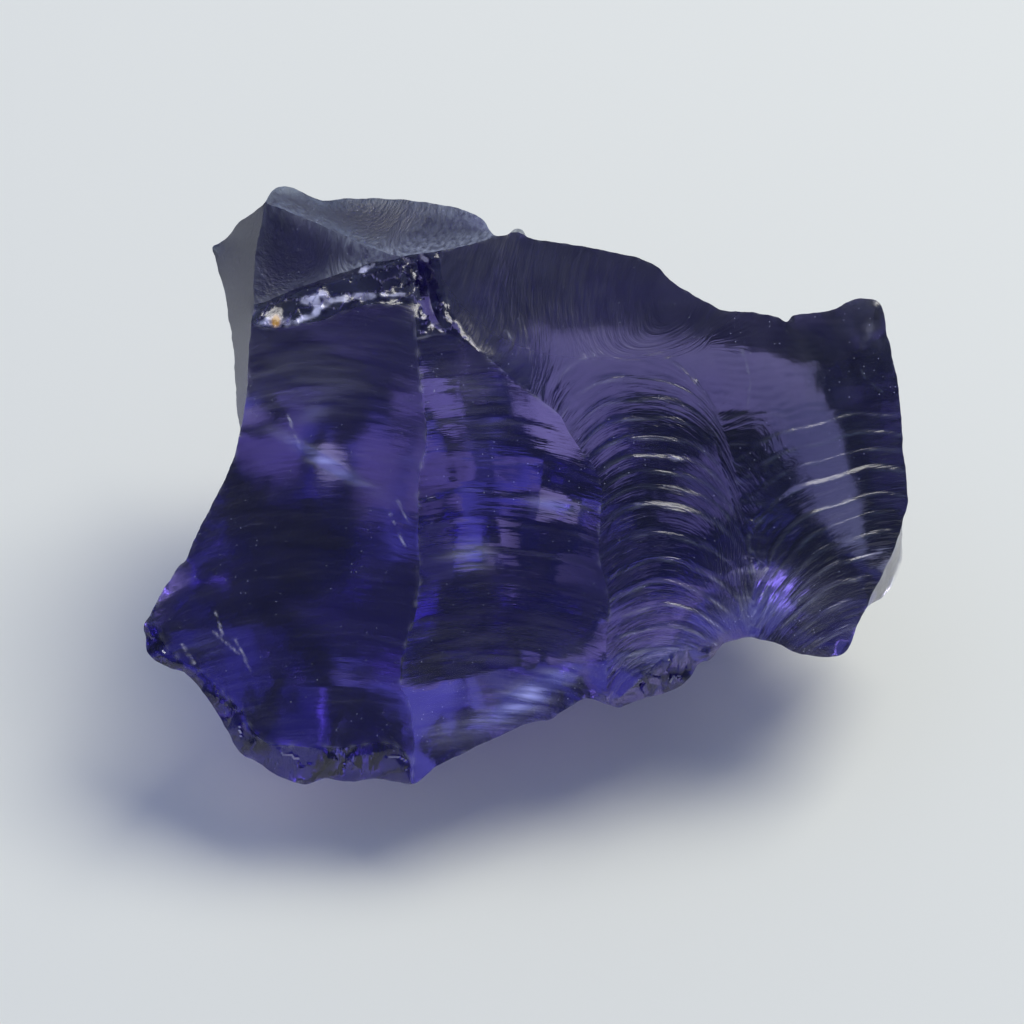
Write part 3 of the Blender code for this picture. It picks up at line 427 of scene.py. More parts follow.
def distance_to(targets, places):
    """Distance of each place to the nearest of the targets."""
    tree = plan_tree(targets)
    return np.array([tree.find((u, v, 0.0))[2] for u, v in places])


def lattice(rim, line_points, spacing):
    """A triangular lattice inside the rim and clear of the lines."""
    low, high = rim.min(axis=0), rim.max(axis=0)
    rows = int((high[1] - low[1]) / (spacing * math.sqrt(0.75))) + 2
    columns = int((high[0] - low[0]) / spacing) + rows
    i, j = np.meshgrid(np.arange(-rows, columns), np.arange(rows))
    i, j = i.ravel(), j.ravel()
    points = np.column_stack(
        [low[0] + (i + 0.5 * j) * spacing, low[1] + j * spacing * math.sqrt(0.75)])
    points = points[inside_rim(points, rim)]
    gap = distance_to([point[:2] for point in line_points], points)
    return points[gap > 0.7 * spacing]


def plan_mesh(points, edges, grid, rim_count):
    """The triangles in plan, inside the rim, and the chords that cut its corners off."""
    plan = [Vector(point[:2]) for point in points] + [Vector(point) for point in grid]
    places, found_edges, triangles, sources, edge_sources = delaunay_2d_cdt(
        plan, edges, [], 0, MERGE_DISTANCE, True)[:5]
    known = np.array([min(source) for source in sources])
    places, triangles = np.array([tuple(place) for place in places]), np.array(triangles)
    rim = np.array([point[:2] for point in points[:rim_count]])
    triangles = triangles[inside_rim(places[triangles].mean(axis=1), rim)]
    kept = {tuple(sorted(edge)) for edge, source in zip(found_edges, edge_sources) if source}
    used = {tuple(sorted(pair)) for corners in triangles.tolist()
            for pair in zip(corners, corners[1:] + corners[:1])}
    chords = [pair for pair in used - kept if max(known[pair[0]], known[pair[1]]) < rim_count]
    return places, triangles, known, kept, chords


def triangulate(rim, lines, spacing):
    """One skin's points and triangles in plan, with what is known of each point."""
    points = list(rim)
    edges = [(index, (index + 1) % len(rim)) for index in range(len(rim))]
    for line in lines:
        first = len(points)
        points += line
        edges += [(first + index, first + index + 1) for index in range(len(line) - 1)]
    grid = lattice(np.array(rim)[:, :2], points, spacing)
    places, _, _, _, chords = plan_mesh(points, edges, grid, len(rim))
    grid = list(grid) + [places[list(chord)].mean(axis=0) for chord in sorted(chords)]
    places, triangles, known, kept, _ = plan_mesh(points, edges, grid, len(rim))
    fixed = known < len(points)
    heights = np.where(fixed, np.array(points)[np.minimum(known, len(points) - 1), 2], 0.0)
    rim_index = {source: index for index, source in enumerate(known.tolist()) if source < len(rim)}
    return places, triangles, heights, fixed, kept, rim_index


def patch_of_each(triangles, kept):
    """Number of the patch that each triangle belongs to; patches end at the kept edges."""
    sides = {}
    for index, (a, b, c) in enumerate(triangles.tolist()):
        for edge in ((a, b), (b, c), (c, a)):
            sides.setdefault((min(edge), max(edge)), []).append(index)
    joined = [[] for _ in range(len(triangles))]
    for edge, pair in sides.items():
        if len(pair) == 2 and edge not in kept:
            joined[pair[0]].append(pair[1])
            joined[pair[1]].append(pair[0])
    patch = np.full(len(triangles), -1)
    for start in range(len(triangles)):
        if patch[start] >= 0:
            continue
        patch[start] = start
        queue = [start]
        while queue:
            for other in joined[queue.pop()]:
                if patch[other] < 0:
                    patch[other] = start
                    queue.append(other)
    return patch


def share_among_seeds(places, triangles, fixed, patch, seeds):
    """For each point the weight of each named seed: only seeds in its own patch count."""
    patch_of_point = np.full(len(places), -1)
    patch_of_point[triangles.ravel()] = np.repeat(patch, 3)
    free = np.flatnonzero(~fixed)
    weights = np.zeros((len(seeds), len(places)))
    for row, (seed, *_) in enumerate(seeds.values()):
        offsets = places - np.array(seed)
        nearest = free[np.argmin((offsets[free] ** 2).sum(axis=1))]
        own = (patch_of_point == patch_of_point[nearest]) & ~fixed
        weights[row, own] = 1.0 / (0.5 + (offsets[own] ** 2).sum(axis=1)) ** 2
    total = weights.sum(axis=0)
    return weights / np.where(total > 0.0, total, 1.0)


def corner_weights(places, triangles):
    """Half-edges with their cotangent weights, and each point's share of the area."""
    half_edges, weights = [], []
    area = np.zeros(len(places))
    for turn in range(3):
        a, b, c = np.roll(triangles, turn, axis=1).T
        to_a, to_b = places[a] - places[c], places[b] - places[c]
        cross = to_a[:, 0] * to_b[:, 1] - to_a[:, 1] * to_b[:, 0]
        half_edges.append(np.column_stack([a, b]))
        weights.append(0.5 * (to_a * to_b).sum(axis=1) / np.maximum(cross, 1e-9))
        area += np.bincount(c, np.abs(cross) / 6.0, len(places))
    return np.vstack(half_edges), np.concatenate(weights), area


def hang(places, triangles, heights, fixed, pull):
    """Heights of a sheet that hangs on its fixed points and is drawn down by `pull`."""
    half_edges, weights, area = corner_weights(places, triangles)
    a, b = half_edges.T
    count = len(places)

    def stiffness(values):
        flow = weights * (values[a] - values[b])
        return np.bincount(a, flow, count) - np.bincount(b, flow, count)

    diagonal = np.bincount(a, weights, count) + np.bincount(b, weights, count)
    diagonal = np.maximum(diagonal, 1e-6)
    heights = np.where(fixed, heights, heights[fixed].mean())
    rest = np.where(fixed, 0.0, -area * pull - stiffness(heights))
    scaled = rest / diagonal
    search = scaled.copy()
    power = rest @ scaled
    for _ in range(3000):
        if power < 1e-12:
            break
        drag = np.where(fixed, 0.0, stiffness(search))
        step = power / (search @ drag)
        heights = heights + step * search
        rest = rest - step * drag
        scaled = rest / diagonal
        power, last = rest @ scaled, power
        search = scaled + (power / last) * search
    return heights


# ---- Fine relief: what only this mesh can show ----
# rippled front patches, by first patch: spacing and height of the fine ripples between the main
# ones, fineness of the grain, how much light the crests of the main ripples scatter back, partly
# wear and partly painted glints, and how dark the painted shade in the grooves is
RIPPLED = {
    "flute": (0.31, 0.03, 1, 0.3, 0.45),
    "right lobe": (0.36, 0.03, 1, 0.28, 0.3),
    "scar": (0.36, 0.004, 0.5, 0.02, 0.06),
    "left bowl": (0.42, 0.004, 0.45, 0.02, 0.03),
}
CREST_WIDTH = 0.07
GROOVE_WIDTH = 0.14
# grain of the patches whose hackles have no direction, per mm
GRAINY = {"top facet": 5, "top facet foot": 5, "recess": 5, "recess foot": 5,
          "left flank": 5, "ledge": 1.6}
# painted highlights: how much light the borders of the grainy patches scatter back, as lighter
# strips where light catches them
PAINTED_BORDER_SHEEN = {"top facet": 0.32, "top facet foot": 0.4, "recess": 0.1, "recess foot": 0.6}
BORDER_WIDTH = 0.8

# crags: patch, size of a crag, how far its faces tilt, and which way they lean on the whole
CRAGS = [("ledge", 0.6, 0.28, (-0.26, 0.5)), ("chip left", 0.55, 0.5, (-0.2, 0.2)),
         ("chip right", 0.6, 0.5, (-0.2, 0.2)), ("broken step", 0.6, 0.6, (0, 0)),
         ("bottom bevel", 0.9, 0.25, (0, 0)), ("left bevel", 0.7, 0.3, (0, 0))]

# waves of both skins: size and height
WAVES = [(1.3, 0.04), (0.6, 0.012)]
BACK_WAVES = [(1.6, 0.1), (0.8, 0.04)]

EDGE_WEAR = 0.02  # depth of the nicks along the front's ridges
EDGE_WEAR_WIDTH = 0.16
EDGE_FROST = 0.6
EDGE_HAZE = 0.18  # how much light the nicks scatter back

SCRATCHES = [
    [(-12.35, -5.63), (-11.3, -6.54)], [(-12.28, -4.83), (-12, -5.75)],
    [(-11.48, -5.94), (-10.9, -7.13)], [(-5.45, -0.7), (-4.75, -2.2)], [(-5.1, -0.3), (-4.6, -1.3)],
    [(8.6, 5.6), (8.85, 4.8), (8.95, 4.2), (8.85, 3.4)], [(13.25, 5.15), (13.55, 4.5), (14.3, 3.9)],
    [(-0.8, 6.35), (-0.45, 5.9)], [(10.3, 6.55), (10.45, 6.2)], [(-9.4, 3), (-8.9, 1.6)],
    [(-13.6, -6.1), (-13.1, -6.9)]]
SCRATCH_HAZE = 0.45
SCRATCH_WIDTH = 0.06
# painted highlights: soft pale streaks that stand in for light caught inside the stone; middle u,
# v, half length and width, slant, strength
PAINTED_HIGHLIGHTS = [
    (-7.9, 1.1, 1.5, 0.24, -31, 2.2), (-8.4, 3.1, 0.5, 0.3, 20, 0.5),
    (1.2, -0.63, 0.9, 0.22, -6, 1.4), (-2.1, -2.6, 0.7, 0.5, 0, 1),
    (0.1, -8.2, 1.6, 0.45, 30, 2.6), (5.2, -6.6, 1.6, 0.5, 8, 0.6),
    (9.6, -4.6, 1.6, 0.7, 15, 0.6), (-3, -9.6, 0.8, 0.5, 0, 0.4),
    (-8.8, 4.4, 2.4, 1.4, 0, 0.25), (-2, 3.6, 1.6, 1.6, 0, 0.2),
]
# calm spots of the flute, with lower ripples, in the same way
CALM = [(5.5, 2.6, 2, 0.75, -5, 0.8), (5.6, 0.33, 2, 0.45, -8, 0.8)]
# painted shade that darkens the calm spots
CALM_SHADE = 0.25
# painted glints: pale spots of the ledge and the flute that stand in for reflections of the key
# light, in the same way
PAINTED_GLINTS = [(-9.75, 6.7, 1, 0.22, 3, 1), (-8.45, 7.65, 0.6, 0.28, 20, 0.9),
          (-8.1, 7.25, 0.6, 0.26, 30, 0.8), (-6.6, 7.65, 0.8, 0.18, 5, 1),
          (-5.2, 7.75, 0.55, 0.12, 0, 0.8), (-6.3, 8.8, 0.45, 0.12, 25, 1),
          (5, -0.6, 1.3, 0.12, -6, 0.45), (5.9, 1.22, 1.4, 0.12, -8, 0.43)]
PAINTED_GLINT_HAZE = 0.36
PAINTED_GLINT_HIGHLIGHT = 0.4
PAINTED_GLINT_LEVEL = 0.35  # where an oval's painted glints begin
STAIN_PLACE = (-9.87, 6.7)  # a small rust-brown spot on the ledge
STAIN_SIZE = (0.17, 0.24)
RIM_WEAR = 0.05  # sideways wander of the rim
WEAR_SEED = 1

# noises: size and seed
FINE_WANDER = (1.4, 5)
FINE_STRENGTH = (0.9, 7)
NICKS = (0.35, 11)
HAZE_DRIFT = (1.3, 13)
RIPPLE_BREAKS = (0.8, 19)
SCRATCH_BREAKS = (0.25, 23)
GROOVE_BREAKS = (0.7, 29)
PAINTED_GLINT_BREAKS = (0.35, 37)


def noise_at(u, v, size, seed):
    """Smooth noise from -1 to 1 at each point, with features of the given size."""
    return np.array([noise.noise((a / size, b / size, seed)) for a, b in zip(u, v)])


def wander(point):
    """A point of the rim or of a line, moved sideways by the small-scale wear of broken edges."""
    u, v, w = point
    place = (u / 0.7, v / 0.7, 3.7)
    fine = (u / 0.25, v / 0.25, 9.1)
    shift = noise.noise_vector(place) * RIM_WEAR + noise.noise_vector(fine) * RIM_WEAR * 0.4
    if abs(w - base_depth(v)) < MERGE_DISTANCE:
        w = base_depth(v + shift[1])
    return np.array((u + shift[0], v + shift[1], w))


def crag_heights(u, v, size, tilt, lean, seed):
    """Heights of small flat faces, each tilted its own way, that meet in ragged edges."""
    rng = np.random.default_rng(seed)
    low = np.array([u.min(), v.min()]) - size
    columns, rows = (np.array([u.max() - low[0], v.max() - low[1]]) / size + 2).astype(int)
    i, j = np.meshgrid(np.arange(columns), np.arange(rows))
    centres = np.column_stack([i.ravel(), j.ravel()]) * size + low
    centres = centres + rng.uniform(-0.4, 0.4, centres.shape) * size
    slopes = rng.uniform(-tilt, tilt, centres.shape) + lean
    tree = plan_tree(centres)
    heights = np.zeros(len(u))
    for index, place in enumerate(zip(u, v)):
        near = [k for _, k, _ in tree.find_n((*place, 0.0), 3)]
        heights[index] = max(slopes[k] @ (place - centres[k]) for k in near)
    return heights


def base_skin(rim, lines, seeds, ripple_rows, dent_rows, spacing):
    """A skin with its main ripples, and what the fine relief needs to know of each point."""
    worn = [worn_line(line, spacing) for line in lines.values()]
    places, triangles, heights, fixed, kept, rim_index = triangulate(rim, worn, spacing)
    patch = patch_of_each(triangles, kept)
    share = share_among_seeds(places, triangles, fixed, patch, seeds)
    pull = np.array([pull for _, pull, *_ in seeds.values()]) @ share
    heights = hang(places, triangles, heights, fixed, pull)
    gap = distance_to(places[fixed], places)
    fade = held(gap / RIPPLE_FADE)
    share = dict(zip(seeds, share))
    for names, *row, arcs in ripple_rows:
        heights += total_share(share, names) * fade * ripples(*places.T, *row, arcs=arcs)
    for name, *row in dent_rows:
        heights += share[name] * fade * dent(places, *row)
    sides = side_shares(share, triangles, fixed, patch)
    return places, heights, triangles, rim_index, share, gap, sides


def side_shares(share, triangles, fixed, patch):
    """The triangles' corners that lie on a line, and there each seed's weight on their own side."""
    free = ~fixed[triangles]
    count = free.sum(axis=1)
    _, own = np.unique(patch, return_inverse=True)
    rows, columns = np.nonzero(~free)
    result = {}
    for name, values in share.items():
        total = (values[triangles] * free).sum(axis=1)
        across = np.bincount(own, total) / np.maximum(np.bincount(own, count), 1)
        side = np.where(count > 0, total / np.maximum(count, 1), across[own])
        result[name] = side[rows]
    return rows, columns, result


def waves(u, v, rows):
    """Heights of uneven waves over a skin."""
    return sum(height * noise_at(u, v, size, size) for size, height in rows)


def fine_front(places, heights, share, gap):
    """The front skin's heights with its fine relief."""
    u, v = places.T
    fade = held(gap / RIPPLE_FADE)
    heights = heights + fade * waves(u, v, WAVES)
    names, *flute, arcs = FRONT_RIPPLES[0]
    calm = ovals(u, v, CALM) * total_share(share, names)
    heights -= calm * fade * ripples(u, v, *flute, arcs=arcs)
    strength = 0.5 + 0.5 * noise_at(u, v, *FINE_STRENGTH)
    for names, *row, _ in FRONT_RIPPLES:
        spacing, height, *_ = RIPPLED[names[0]]
        own = fade * mostly(total_share(share, names))
        phase = fine_phase(u, v, marched_distance(u, v, *row), spacing)
        heights += own * strength * height * ripple_profile(phase)
    for seed, (name, size, tilt, lean) in enumerate(CRAGS):
        own = share[name] * held(gap / (0.5 * size))
        some = np.flatnonzero(own > 0.0)
        heights[some] += own[some] * crag_heights(*places[some].T, size, tilt, lean, seed)
    return heights - EDGE_WEAR * edge_wear(u, v, gap)


def fine_back(places, heights, share, gap):
    """The back skin's heights with its waves; the base facet stays flat."""
    return heights + held(gap / RIPPLE_FADE) * (1.0 - share["base"]) * waves(*places.T, BACK_WAVES)


def mostly(share):
    """A share made steeper, so that the next patch hardly shows."""
    return held(1.4 * share - 0.4)


def edge_wear(u, v, gap):
    """How nicked the ridge beside each point is, from 0 to 1, fading away from it."""
    return beside(gap, EDGE_WEAR_WIDTH) * held(noise_at(u, v, *NICKS) + 0.15)


def crests_and_grooves(u, v, *row, arcs):
    """1 on the crests of the main ripples, and 1 in their grooves, fading to 0 beside them."""
    marks = np.array(arcs)[:, 0]
    phase, marched = ripple_phase(u, v, *row, marks)
    length = np.interp(marched, marks[:-1], np.diff(marks))
    share = phase % 1.0
    inside = (phase > 0.0) & (phase < len(marks) - 1)
    crest = beside(length * np.abs(share - STEEP_SHARE), CREST_WIDTH)
    groove = beside(length * np.minimum(share, 1.0 - share), GROOVE_WIDTH)
    return crest * inside, groove * inside


def fine_phase(u, v, marched, spacing):
    """Count of the fine ripples marched over, which wander."""
    return marched / spacing + 0.8 * noise_at(u, v, *FINE_WANDER)


def fine_grooves(u, v, marched, spacing):
    """From 0 to 1 over the fine ripples, uneven along them."""
    phase = fine_phase(u, v, marched, spacing)
    return (0.5 + 0.5 * np.cos(2.0 * math.pi * phase)) * noise_between(u, v, *GROOVE_BREAKS)


def noise_between(u, v, size, seed):
    """Smooth noise from 0 to 1 with much of it at either end."""
    return held(0.5 + noise_at(u, v, size, seed) * 1.5)


def oval(u, v, middle_u, middle_v, length, width, slant, strength):
    """A soft oval spot."""
    cosine, sine = math.cos(math.radians(slant)), math.sin(math.radians(slant))
    along = (u - middle_u) * cosine + (v - middle_v) * sine
    across = (v - middle_v) * cosine - (u - middle_u) * sine
    return strength * np.exp(-(along / length) ** 2 - (across / width) ** 2)


def ovals(u, v, rows):
    """Sum of soft oval spots."""
    return sum(oval(u, v, *row) for row in rows)


def scratch(places, line):
    """1 on the broken line through the given points, fading to 0 beside it."""
    mask = np.zeros(len(places))
    for start, end in zip(np.array(line[:-1]), np.array(line[1:])):
        way = end - start
        along = held((places - start) @ way / (way @ way))
        gap = np.linalg.norm(places - start - along[:, None] * way, axis=1)
        mask = np.maximum(mask, beside(gap, SCRATCH_WIDTH))
    return mask


def total_share(share, names):
    """Sum of the named patches' shares."""
    return sum(share[name] for name in names)


def weighted(share, patches, column):
    """A column of the patches' table, weighted by their shares."""
    return sum(share[name] * row[column] for name, row in patches.items())


def front_looks(places, heights, share, gap):
    """Grain vector, frost, dirt and painted shade, haze, painted highlights and stain of front
    points.
    """
    u, v = places.T
    grain = np.column_stack([u * 4.0, v * 0.8, np.zeros(len(u))])
    for name, scale in GRAINY.items():
        own = share[name][:, None]
        grain = grain * (1.0 - own) + np.column_stack([u, v, heights]) * scale * own
    frost, dirt_and_shade, haze = (weighted(share, FRONT_PATCHES, look) for look in (FROST, DIRT_AND_SHADE, HAZE))
    haze *= 1.0 + 0.6 * noise_at(u, v, *HAZE_DRIFT)
    # painted highlight: lighter strips along the borders of the grainy patches
    border_sheen = sum(share[name] * value for name, value in PAINTED_BORDER_SHEEN.items())
    haze += border_sheen * beside(gap, BORDER_WIDTH) ** 1.5
    broken = held(0.5 + noise_at(u, v, *RIPPLE_BREAKS) * 1.2)
    for names, *row, arcs in FRONT_RIPPLES:
        spacing, _, fineness, crest_wear_and_glint, groove_shade = RIPPLED[names[0]]
        own = total_share(share, names)
        marched = marched_distance(u, v, *row)
        along = np.column_stack([marched * 2.5 / spacing, u * 0.8, np.full(len(u), 2.0)])
        grain = grain * (1.0 - own[:, None]) + along * fineness * own[:, None]
        crest, groove = crests_and_grooves(u, v, *row, arcs=arcs)
        # worn crests, with painted glints along them
        haze += own * crest_wear_and_glint * crest * broken
        # painted shade in the main grooves, and below in the fine ones
        dirt_and_shade += own * groove_shade * groove * broken
        dirt_and_shade += own * 0.5 * groove_shade * fine_grooves(u, v, marched, spacing)
    # painted shade over the calm spots
    dirt_and_shade += CALM_SHADE * ovals(u, v, CALM)
    nicks = edge_wear(u, v, gap)
    frost = np.maximum(frost, EDGE_FROST * nicks)
    haze = np.maximum(haze, EDGE_HAZE * nicks)
    for line in SCRATCHES:
        mark = scratch(places, line) * noise_between(u, v, *SCRATCH_BREAKS)
        haze = np.maximum(haze, SCRATCH_HAZE * mark)
    # painted highlights: pale streaks where light is caught inside the stone
    painted_highlight = ovals(u, v, PAINTED_HIGHLIGHTS)
    # painted glints: pale spots that stand in for reflections of the key light
    painted_glint = ovals(u, v, PAINTED_GLINTS) * (1.0 + 1.2 * noise_at(u, v, *PAINTED_GLINT_BREAKS))
    painted_glint = held(4.0 * (painted_glint - PAINTED_GLINT_LEVEL))
    painted_highlight += PAINTED_GLINT_HIGHLIGHT * painted_glint
    dirt_and_shade *= 1.0 - painted_glint
    haze += PAINTED_GLINT_HAZE * painted_glint
    stain = np.exp(-(((places - STAIN_PLACE) / STAIN_SIZE) ** 2).sum(axis=1)) * share["ledge"]
    stain = held(2.0 * stain)
    return np.column_stack([grain, frost, np.clip(dirt_and_shade, 0.0, 0.95), haze, painted_highlight, stain])


def back_looks(places, heights, share, _):
    """The same of back points, whose tint is painted shade, and which have no haze, painted
    highlights or stain.
    """
    frost = GLASSY + sum(share[name] * (row[FROST] - GLASSY) for name, row in BACK_PATCHES.items())
    dirt_and_shade = weighted(share, BACK_PATCHES, DIRT_AND_SHADE)
    return np.column_stack([places * 0.6, heights * 0.6, frost, dirt_and_shade, np.zeros((len(dirt_and_shade), 3))])


def corner_looks(looks, places, heights, triangles, share, gap, sides):
    """The looks at each triangle's corners; a line's points look like their own side's patch."""
    rows, columns, side = sides
    corners = looks(places, heights, share, gap)[triangles]
    index = triangles[rows, columns]
    corners[rows, columns] = looks(places[index], heights[index], side, gap[index])
    return corners


# ---- The stone ----
LOOKS = ("frost", "dirt_and_shade", "haze", "painted_highlight", "stain")  # stored beside the grain vector
FRONT_SPACING = 0.085  # distance between points of the front skin
BACK_SPACING = 4.0 * FRONT_SPACING


def sew(front, back):
    """One closed mesh of both skins, which share the rim's points."""
    front_points, front_triangles, front_rim = front
    back_points, back_triangles, back_rim = back
    renamed = np.full(len(back_points), -1)
    for known, index in back_rim.items():
        renamed[index] = front_rim[known]
    inner = np.flatnonzero(renamed < 0)
    renamed[inner] = len(front_points) + np.arange(len(inner))
    points = np.vstack([front_points, back_points[inner]])
    triangles = np.vstack([front_triangles, renamed[back_triangles][:, ::-1]])
    return points, triangles


def stand_up(points):
    """The slanting frame's points in the stone's own frame, in metres, before it is centred."""
    u, v, w = np.transpose(points)
    return np.column_stack([u, v * SINE - w * COSINE, v * COSINE + w * SINE + BASE_DROP]) * MM


def set_attribute(mesh, name, kind, values):
    """Store one value for each corner of the mesh's triangles."""
    key = "vector" if kind == "FLOAT_VECTOR" else "value"
    values = np.asarray(values, dtype=np.float32).ravel()
    mesh.attributes.new(name, kind, "CORNER").data.foreach_set(key, values)


def finished_skin(fine, looks, *tables):
    """One skin's points with its fine relief, its triangles, its rim and its corners' looks."""
    places, heights, triangles, rim_index, *known = base_skin(*tables)
    heights = fine(places, heights, *known[:2])
    corners = corner_looks(looks, places, heights, triangles, *known)
    return np.column_stack([places, heights]), triangles, rim_index, corners


def add_object(name, data):
    """A new object in the scene."""
    thing = bpy.data.objects.new(name, data)
    bpy.context.scene.collection.objects.link(thing)
    return thing


def add_stone():
    """The stone in the solid's place, and how far the slanting frame was moved to get there."""
    noise.seed_set(WEAR_SEED)
    rim = worn_line(RIM, FRONT_SPACING, closed=True)
    *front, corners = finished_skin(
        fine_front, front_looks,
        rim, FRONT_LINES, FRONT_PATCHES, FRONT_RIPPLES, [], FRONT_SPACING)
    *back, back_corners = finished_skin(
        fine_back, back_looks,
        rim, BACK_LINES, BACK_PATCHES, BACK_RIPPLES, BACK_DENTS, BACK_SPACING)
    points, triangles = sew(front, back)
    corners = np.vstack([corners, back_corners[:, ::-1]]).reshape(-1, 3 + len(LOOKS))
    stood = stand_up(points)
    low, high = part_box(NODE_NAME)
    shift = (np.array(low + high) - stood.min(axis=0) - stood.max(axis=0)) / 2.0
    shift[2] = low.z
    mesh = bpy.data.meshes.new("amethyst")
    mesh.from_pydata((stood + shift).tolist(), [], triangles.tolist())
    set_attribute(mesh, "grain", "FLOAT_VECTOR", corners[:, :3])
    for column, name in enumerate(LOOKS, start=3):
        set_attribute(mesh, name, "FLOAT", corners[:, column])
    mesh.validate()
    mesh.shade_smooth()
    mesh.set_sharp_from_angle(angle=CREASE_ANGLE)
    mesh.materials.append(quartz())
    return add_object("amethyst", mesh), shift


# ---- The quartz ----
WHITE = (1.0, 1.0, 1.0, 1.0)
QUARTZ_IOR = 1.544
ABSORPTION = (169.0, 195.0, 78.0)  # of red, green and blue light, per metre
DENSITY = max(ABSORPTION) * 1.1  # per metre, a little more than any colour's
ROUGHNESS = (0.03, 0.5)  # of glassy and of fully frosted quartz
GRAIN_DEPTH = 0.000045  # of the hackles, in metres
# dark blue of the dirt and of the painted shade
DIRT_AND_SHADE_COLOUR = (0.071, 0.105, 0.155, 1.0)
SPECK_COLOUR = (0.42, 0.44, 0.54, 1.0)
SPECK_SPACING = 0.0002
SPECK_RADIUS = 0.000018
SPECK_SHARE = (0.04, 0.7)  # part of the cells that hold a speck, on clean and on dusty ground
SPECK_DRIFTS = 0.0022  # size of the dusty areas
DUST_NOISE = (0.42, 0.68)  # noise on clean and on dusty ground
# pale blue of the painted highlights
PAINTED_HIGHLIGHT_COLOUR = (0.5, 0.52, 1.0, 1.0)
PAINTED_HIGHLIGHT_COVER = 0.22  # how much light the strongest painted highlight scatters back
HAZE_NOISE = (0.35, 0.65)  # noise where the haze is thin and thick
HAZE_SPREAD = (0.3, 1.7)  # how thin and how thick it is there
STAIN_COLOUR = (0.38, 0.19, 0.01, 1.0)


def feed(tree, node, inputs):
    """Set a node's inputs to values, or link them to other nodes' outputs."""
    for name, value in inputs.items():
        if isinstance(value, bpy.types.NodeSocket):
            tree.links.new(value, node.inputs[name])
        else:
            node.inputs[name].default_value = value


def add_node(tree, kind, inputs, **settings):
    """The outputs of a new node with the given settings and inputs."""
    node = tree.nodes.new("ShaderNode" + kind)
    for name, value in settings.items():
        setattr(node, name, value)
    feed(tree, node, inputs)
    return node.outputs


def stored(tree, name):
    """The value that the mesh stores under a name."""
    return add_node(tree, "Attribute", {}, attribute_name=name)["Fac"]


def maths(tree, operation, *values):
    """The result of a sum, product or the like."""
    return add_node(tree, "Math", dict(enumerate(values)), operation=operation)["Value"]


def stretched(tree, value, before, after):
    """A value moved from one range to another."""
    ends = {"From Min": before[0], "From Max": before[1], "To Min": after[0], "To Max": after[1]}
    return add_node(tree, "MapRange", {"Value": value, **ends})["Result"]


def mixed(tree, share, colour, other):
    """A colour with a share of another in it."""
    inputs = {"Factor": share, "A": colour, "B": other}
    return add_node(tree, "Mix", inputs, data_type="RGBA")["Result"]


def dust(tree):
    """A mask of tiny round specks of dust, one in a few cells of the stone's space."""
    place = add_node(tree, "TexCoord", {})["Object"]
    cells = add_node(tree, "TexVoronoi", {"Vector": place, "Scale": 1.0 / SPECK_SPACING})
    near = maths(tree, "LESS_THAN", cells["Distance"], SPECK_RADIUS / SPECK_SPACING)
    drifts = add_node(tree, "TexNoise", {"Vector": place, "Scale": 1.0 / SPECK_DRIFTS})["Fac"]
    dusty = stretched(tree, drifts, DUST_NOISE, SPECK_SHARE)
    number = add_node(tree, "SeparateColor", {"Color": cells["Color"]})["Red"]
    return maths(tree, "MULTIPLY", near, maths(tree, "LESS_THAN", number, dusty))


def quartz():
    """Clear violet quartz: it darkens with depth, and its broken faces are finely hackled; its
    colour carries painted shade and painted highlights.
    """
    material = bpy.data.materials.new("violet quartz")
    material.use_nodes = True
    tree = material.node_tree
    passed = (*(1.0 - value / DENSITY for value in ABSORPTION), 1.0)
    volume = add_node(tree, "VolumeAbsorption", {"Color": passed, "Density": DENSITY})["Volume"]
    feed(tree, tree.nodes["Material Output"], {"Volume": volume})
    grain = add_node(tree, "Attribute", {}, attribute_name="grain")["Vector"]
    streaks = add_node(tree, "TexNoise", {"Vector": grain, "Scale": 1.0, "Detail": 3.0})["Fac"]
    speck, painted_highlight, stain = dust(tree), stored(tree, "painted_highlight"), stored(tree, "stain")
    # dirt and painted shade darken the colour, and so what shines through
    colour = mixed(tree, stored(tree, "dirt_and_shade"), WHITE, DIRT_AND_SHADE_COLOUR)
    # painted highlights: pale blue streaks mixed into the colour
    colour = mixed(tree, painted_highlight, colour, PAINTED_HIGHLIGHT_COLOUR)
    colour = mixed(tree, speck, colour, SPECK_COLOUR)
    colour = mixed(tree, stain, colour, STAIN_COLOUR)
    # painted highlights, with the haze, scatter light back instead of letting it through
    cover = maths(tree, "MULTIPLY_ADD", painted_highlight, PAINTED_HIGHLIGHT_COVER, stored(tree, "haze"))
    cover = maths(tree, "MULTIPLY", cover, stretched(tree, streaks, HAZE_NOISE, HAZE_SPREAD))
    cover = maths(tree, "MAXIMUM", maths(tree, "MAXIMUM", cover, speck), stain)
    hackles = {"Height": streaks, "Strength": 1.0, "Distance": GRAIN_DEPTH}
    feed(tree, tree.nodes["Principled BSDF"], {
        "IOR": QUARTZ_IOR,
        "Base Color": colour,
        "Roughness": stretched(tree, stored(tree, "frost"), (0.0, 1.0), ROUGHNESS),
        "Transmission Weight": maths(tree, "SUBTRACT", 1.0, cover),
        "Normal": add_node(tree, "Bump", hackles)["Normal"]})
    return material


# ---- Floor, lights and camera ----
PAPER_COLOUR = (0.79, 0.803, 0.68, 1.0)
FLOOR_SIZE = 4.0
FLOOR_GAP = 0.00003  # between the paper and the base facet, in metres
EYE_DISTANCE = 0.24  # from the camera to the slanting frame's plane
EYE_AIM = (-0.514, -0.87, 0.0)  # the point of that plane in the middle of the view
PICTURE_WIDTH = 1.024 / 25.3  # width of the view on that plane, in metres
SENSOR_WIDTH = 36.0


